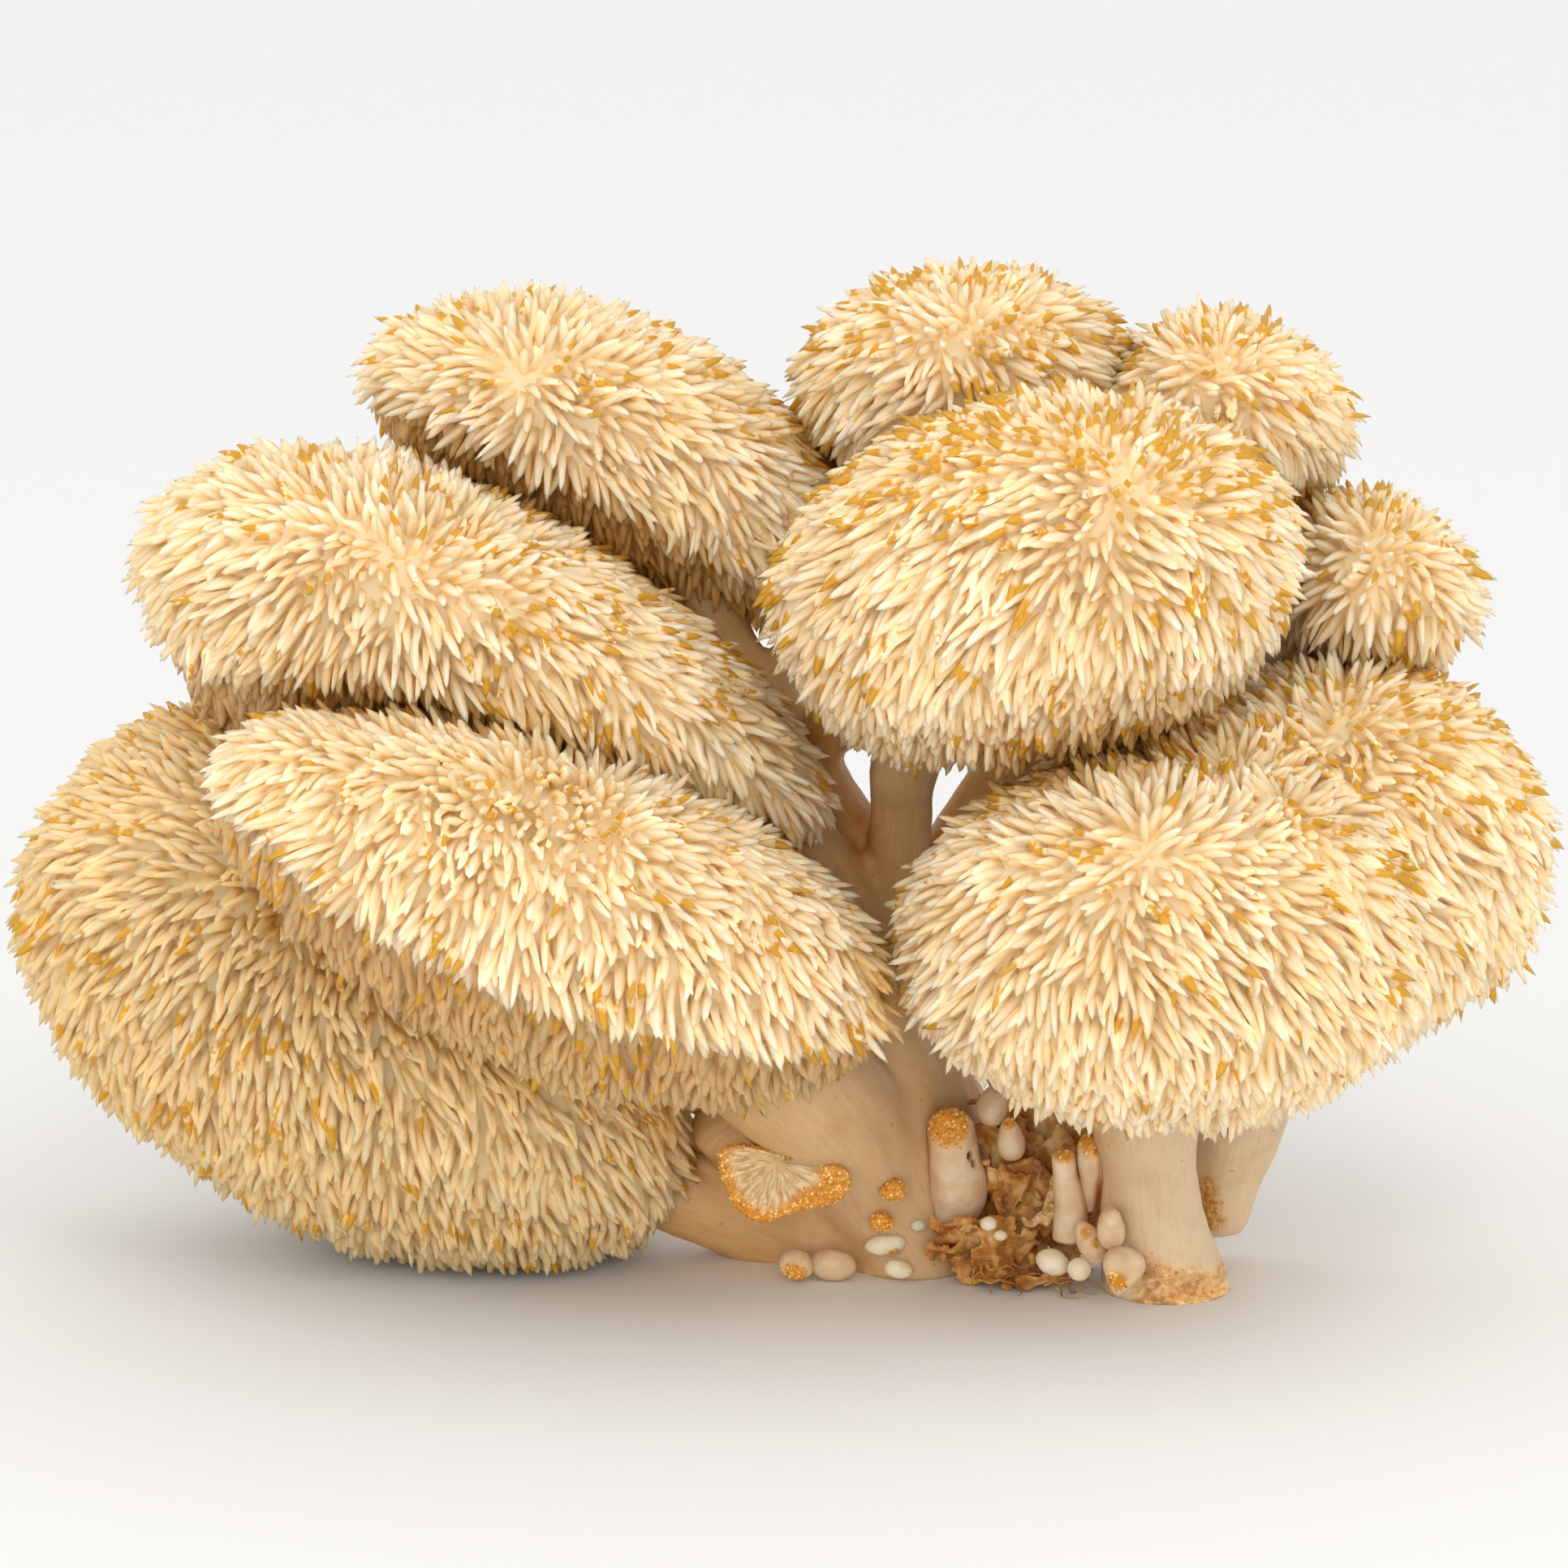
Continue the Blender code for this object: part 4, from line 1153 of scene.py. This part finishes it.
def spine_flesh():
    """Fresh fungus spines: waxy and moist, cream, tan at the tips, golden in patches, painted amber shade down
    between them.
    """
    material, add, where, along, tint, tier, ripe, stain = new_material(
        "fungus_spines_fresh", "along", "tint", "tier", "ripe", "stain"
    )
    # Each ramp runs from a spine's root to its tip: the darker amber at the root is painted shade down between the
    # spines, and the lighter tip of the pale ramp is painted light through its thin end
    pale, warm = (
        add(*RAMP, {"Fac": along}, zip((0.0, 0.4, 0.8, 1.0), colours))
        for colours in (("#EFDAB0", "#EEE0C2", "#F0E6D0", "#F6EEDA"), ("#E4C690", "#E2CCA2", "#E3CEA8", "#E4CEA4"))
    )
    # Beige clouds a few centimetres across, and the darker beige that paints shade on some caps, most on the low left
    # one
    cloud = add(*CLOUDS, {"Vector": where, "Scale": 1 / (24 * MM), "Detail": 2.0})
    cloud = add(*EASE, {"Value": cloud, "From Min": 0.35, "From Max": 0.7, "To Max": 0.35})
    clouds_and_painted_shade = add(*LARGER, {0: cloud, 1: ripe})
    # Golden tips, streaked across the spine at about 1 mm
    streak = add(*CLOUDS, {"Vector": where, "Scale": 1 / (1.1 * MM), "Detail": 2.0})
    gold = add(*TIMES_PLUS, {0: streak, 1: 0.16, 2: stain})
    gold = add(*EASE, {"Value": gold, "From Min": 0.95, "From Max": 0.98})
    tip = add(*EASE, {"Value": along, "From Min": 0.5, "From Max": 0.62})
    gold = add(*TIMES, {0: gold, 1: tip})
    # The underside below the margin gets darker tan as painted shade under the overhang, and the nook stops paint
    # amber shade where the spines are closed in
    return finish_material(
        material, pale, {"Roughness": 0.42, **FLESH_GLOW},
        layers=[(tint, warm), (tier, "#C2A274"), (clouds_and_painted_shade, "#D8C08C"), (gold, "#C6962C")],
        shades=[(0.12, "#FFFFFF"), (0.36, "#FDF0D2"), (0.58, "#FBDFA4"), (0.9, "#F6C872")],
    )


def stem_flesh():
    """Stem flesh: satin and fibrous, painted beige in shade to ivory in light, with long fine lines, a spongy torn
    foot and brown specks.
    """
    material, add, where, pale, torn, crust, dark = new_material(
        "fungus_stem_flesh", "pale", "torn", "crust", "dark"
    )
    grain = add("ShaderNodeAttribute", {"attribute_name": "grain"}).outputs["Vector"]
    stretched = add(*STRETCH, {0: grain, 1: (1.0, 1.0, 0.07)})
    fibres = add(*CLOUDS, {"Vector": stretched, "Scale": 1.6, "Detail": 3.0, "Roughness": 0.6})
    blotches, freckles, sponge, crumbs, fine = (
        add(*CLOUDS, {"Vector": where, "Scale": 1 / (size_mm * MM), "Detail": detail, "Roughness": rough})
        for size_mm, detail, rough in (
            (5.5, 3.0, 0.5), (1.4, 1.0, 0.5), (1.3, 3.0, 0.7), (0.9, 3.0, 0.7), (0.5, 2.0, 0.5),
        )
    )
    # Painted light and shade: the stored share runs the stems from beige in shade to ivory in light
    body = add(*RAMP, {"Fac": pale}, [(0.0, "#DAAA6E"), (0.4, "#DCB17C"), (0.75, "#DEB98C"), (1.0, "#E4C9A2")])
    layers = [
        (add(*EASE, {"Value": value, "From Min": low, "From Max": high, "To Max": most}), colour)
        for value, low, high, most, colour in (
            (fibres, 0.4, 0.75, 0.2, "#EBD6B4"), (fibres, 0.5, 0.3, 0.12, "#B98652"),
            (blotches, 0.5, 0.75, 0.25, "#BF8C58"), (freckles, 0.74, 0.79, 0.5, "#B5713A"),
        )
    ]
    spongy = add(*RAMP, {"Fac": sponge}, [
        (0.32, "#A9763E"), (0.46, "#C99A60"), (0.58, "#DCB985"), (0.7, "#EBD3A8"),
    ])
    crumbly = add(*RAMP, {"Fac": crumbs}, [
        (0.35, "#B07024"), (0.48, "#D49A4E"), (0.6, "#E6C48C"), (0.72, "#F0DCB4"),
    ])
    grit = add(*RELIEF, {"Height": fine, "Distance": 0.08 * MM, "Strength": 0.4})
    ribs = add(*RELIEF, {"Height": fibres, "Distance": 0.2 * MM, "Strength": 0.4, "Normal": grit})
    return finish_material(
        material, body, {"Roughness": 0.5, "Normal": ribs, **FLESH_GLOW},
        layers=layers + [(torn, spongy), (crust, crumbly), (dark, "#4A2A14")],
        # Painted shade: darker brown where the stems are closed in, as in the fork
        shades=[(0.25, "#FFFFFF"), (0.55, "#F0D2A8"), (0.78, "#D5A06A"), (1.0, "#8E5B2C")],
    )


def young_flesh(name, size_mm, clouds, rough):
    """Young growth: firm and smooth like wax, golden under its granules; clouds are its colours, light on top."""
    material, add, where, golden, dark = new_material(name, "golden", "dark")
    cloud, fine = (
        add(*CLOUDS, {"Vector": where, "Scale": 1 / (size * MM), "Detail": 3.0}) for size in (size_mm, 0.6)
    )
    body = add(*RAMP, {"Fac": cloud}, clouds)
    grit = add(*RELIEF, {"Height": fine, "Distance": 0.06 * MM, "Strength": 0.4})
    return finish_material(
        material, body, {"Roughness": rough, "Normal": grit, **FLESH_GLOW},
        layers=[(golden, "#C98A2E"), (dark, "#4A260C")],
        # Painted shade where the young growth is closed in
        shades=[(0.3, "#FFFFFF"), (0.6, "#E6C096"), (0.95, "#9C6A3A")],
    )


def fan_flesh():
    """Young cap: tan flesh with fine pale folds that fan out to the rim."""
    material, add, _, golden = new_material("fungus_young_cap_flesh", "golden")
    fan = add("ShaderNodeAttribute", {"attribute_name": "fan"}).outputs["Vector"]
    folds = add(*CLOUDS, {"Vector": fan, "Scale": 1.5, "Detail": 3.0, "Roughness": 0.6})
    body = add(*RAMP, {"Fac": folds}, [(0.35, "#C08E52"), (0.48, "#D9B582"), (0.62, "#EDD8AE")])
    ribs = add(*RELIEF, {"Height": folds, "Distance": 0.25 * MM, "Strength": 0.7})
    return finish_material(
        material, body, {"Roughness": 0.5, "Normal": ribs, **FLESH_GLOW},
        layers=[(golden, "#C08430")],
        # Painted shade where the young cap is closed in
        shades=[(0.3, "#FFFFFF"), (0.6, "#E0B47C"), (0.95, "#9C6A3A")],
    )


def golden_granules():
    """Golden granules: like coarse wet sugar, amber to pale yellow."""
    material, add, _, tint = new_material("fungus_golden_granules", "tint")
    body = add(*RAMP, {"Fac": tint}, [(0.0, "#A8671A"), (0.35, "#C48A30"), (0.7, "#DBAA50"), (1.0, "#F0D89C")])
    return finish_material(material, body, {"Roughness": 0.35, **FLESH_GLOW})


def husk_paper():
    """Old husk: brown, dry and papery, thin enough to glow where light comes through."""
    material, add, where = new_material("dry_husk_papery")
    cloud, veins = (
        add(*CLOUDS, {"Vector": where, "Scale": 1 / (size_mm * MM), "Detail": detail, "Roughness": rough})
        for size_mm, detail, rough in ((5, 4.0, 0.6), (0.9, 3.0, 0.7))
    )
    body = add(*RAMP, {"Fac": cloud}, [
        (0.32, "#7A4617"), (0.45, "#B0702A"), (0.56, "#CF9A50"), (0.7, "#E2C28C"),
    ])
    pale = add(*EASE, {"Value": veins, "From Min": 0.5, "From Max": 0.7, "To Max": 0.5})
    creases = add(*RELIEF, {"Height": veins, "Distance": 0.15 * MM, "Strength": 0.6})
    return finish_material(
        material, body, {
            "Roughness": 0.45, "Normal": creases, "IOR": 1.45, "Subsurface Weight": 0.5,
            "Subsurface Radius": (1.0, 0.55, 0.25), "Subsurface Scale": 0.0009,
        },
        layers=[(pale, "#D8B078")],
        # Painted shade where the husk is closed in
        shades=[(0.3, "#FFFFFF"), (0.65, "#CF9A62"), (0.95, "#6E4319")],
    )


def dried_flesh():
    """Dried strip: pale, rough and crumbly."""
    material, add, where = new_material("dried_fungus_strip")
    crumbs = add(*CLOUDS, {"Vector": where, "Scale": 1 / (0.9 * MM), "Detail": 3.0, "Roughness": 0.7})
    body = add(*RAMP, {"Fac": crumbs}, [(0.3, "#A36C2E"), (0.5, "#CFA468"), (0.7, "#EAD2A2")])
    rough = add(*RELIEF, {"Height": crumbs, "Distance": 0.2 * MM, "Strength": 0.7})
    return finish_material(material, body, {"Roughness": 0.65, "Normal": rough, "IOR": 1.4})


# Studio and scene

def light(name, at, size, power):
    """A soft round lamp that shines on the middle of the cluster; metres and watts."""
    lamp = bpy.data.lights.new(name, "AREA")
    lamp.shape = "DISK"
    lamp.size = size
    lamp.energy = power
    holder = link_object(name, lamp)
    holder.location = at
    holder.rotation_euler = (Vector((0, 0, 0.07)) - Vector(at)).to_track_quat("-Z", "Y").to_euler()


def studio():
    """Pale floor, soft lights, and the camera."""
    floor = mesh_from("floor", [(-20, -20, 0), (20, -20, 0), (20, 20, 0), (-20, 20, 0)], [(0, 1, 2, 3)])
    floor.materials.append(finish_material(new_material("pale_floor")[0], "#F7F6F4", {"Roughness": 0.8}))
    link_object("floor", floor)

    world = bpy.data.worlds.new("studio_air")
    world.use_nodes = True
    air = world.node_tree.nodes["Background"].inputs
    air["Color"].default_value = (1, 1, 1, 1)
    air["Strength"].default_value = 0.96
    bpy.context.scene.world = world
    light("key", (0.3, -0.7, 1.1), 0.5, 1.6)
    light("fill", (-0.1, -1.2, 0.25), 0.9, 3.3)

    lens = bpy.data.cameras.new("photo_camera")
    lens.sensor_width = SENSOR_MM
    lens.lens = SENSOR_MM * CAMERA_DISTANCE / (PHOTO_PIXELS * PIXEL_MM)
    lens.shift_x = -AIM_PIXELS_RIGHT / PHOTO_PIXELS
    lens.clip_end = 60
    camera = link_object("photo_camera", lens)
    tilt = math.radians(CAMERA_DOWN)
    back = Vector((0, -math.cos(tilt), math.sin(tilt))) * CAMERA_DISTANCE * MM
    camera.location = shifted(AIM_AT) + back
    camera.rotation_euler = (math.radians(90 - CAMERA_DOWN), 0, 0)
    bpy.context.scene.camera = camera
    bpy.context.scene.view_settings.view_transform = "Standard"


def finished(piece, slot, *nodes):
    """Leans a finished piece back, hangs it on the root and hides the model's parts for its nodes; slot is not used.
    """
    points = rows_of(piece.data, "co")
    points[:, 1] += LEAN * points[:, 2]
    points[:, 2] *= LEAN_HEIGHT
    set_points(piece.data, points)
    piece.data.validate()
    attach(piece, "root")
    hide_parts(*nodes)


def main():
    """Makes the studio, then the caps, stems, young growth and husk."""
    noise.seed_set(NOISE_SEED)
    studio()
    cores, caps_of = {}, {}
    for name, cap in CAPS.items():
        caps_of[name] = [cap] + (list(RIGHT_LOBES) if name == "cap_right" else [])
        cores[name] = make_core(name + "_spiny", caps_of[name])
        comb_spines(cores[name], caps_of[name])
    stem_lines = [tube(line_through(knots), 12) for knots in STEMS.values()]
    stem_meshes = [mesh_from("stem", *part) for part in stem_lines]
    around = tree_of([core.data for core in cores.values()] + stem_meshes)

    spines = spine_tree(spine_flesh())
    for number, (name, core) in enumerate(cores.items()):
        store_nooks(core.data, around, *SPINE_NOOK)
        run_nodes(core, spines, number + 1)
        rest_on_ground(core.data, 1.0)
        finished(core, "cap_flesh", name)

    flesh = stem_flesh()
    grown = [name for name in STEMS if name not in ("stem_front_right", "stem_far_right")]
    finished(make_stems("forked_stems", grown, flesh, around), "stem_flesh", *grown)
    for name in ("stem_front_right", "stem_far_right"):
        finished(make_stems(name + "_fibrous", [name], flesh, around), "stem_flesh", name)

    bud = young_flesh("fungus_bud_flesh", 3.0, [(0.3, "#D8B086"), (0.55, "#E5C69E"), (0.75, "#EDD8B6")], 0.42)
    bead = young_flesh("fungus_bead_flesh", 2.0, [(0.3, "#F0DCB6"), (0.7, "#FAEED6")], 0.35)
    granules = granule_tree(golden_granules())
    for name in list(STALKS) + list(BUDS):
        golden = name in ("bud_dot_upper", "bud_dot_lower", "bud_oval")
        material = bead if name.startswith("bead") or "white" in name else bud
        finished(make_bud(name, material, granules, around), "golden_crust" if golden else "bud_flesh", name)
    finished(make_young_cap(fan_flesh(), granules, around), "golden_crust", "young_cap")

    paper = husk_paper()
    for name, sheets in HUSKS.items():
        finished(make_husk(name, sheets, paper, around), "husk", name)
    finished(make_strip(dried_flesh(), around), "husk", "husk_strip")


main()
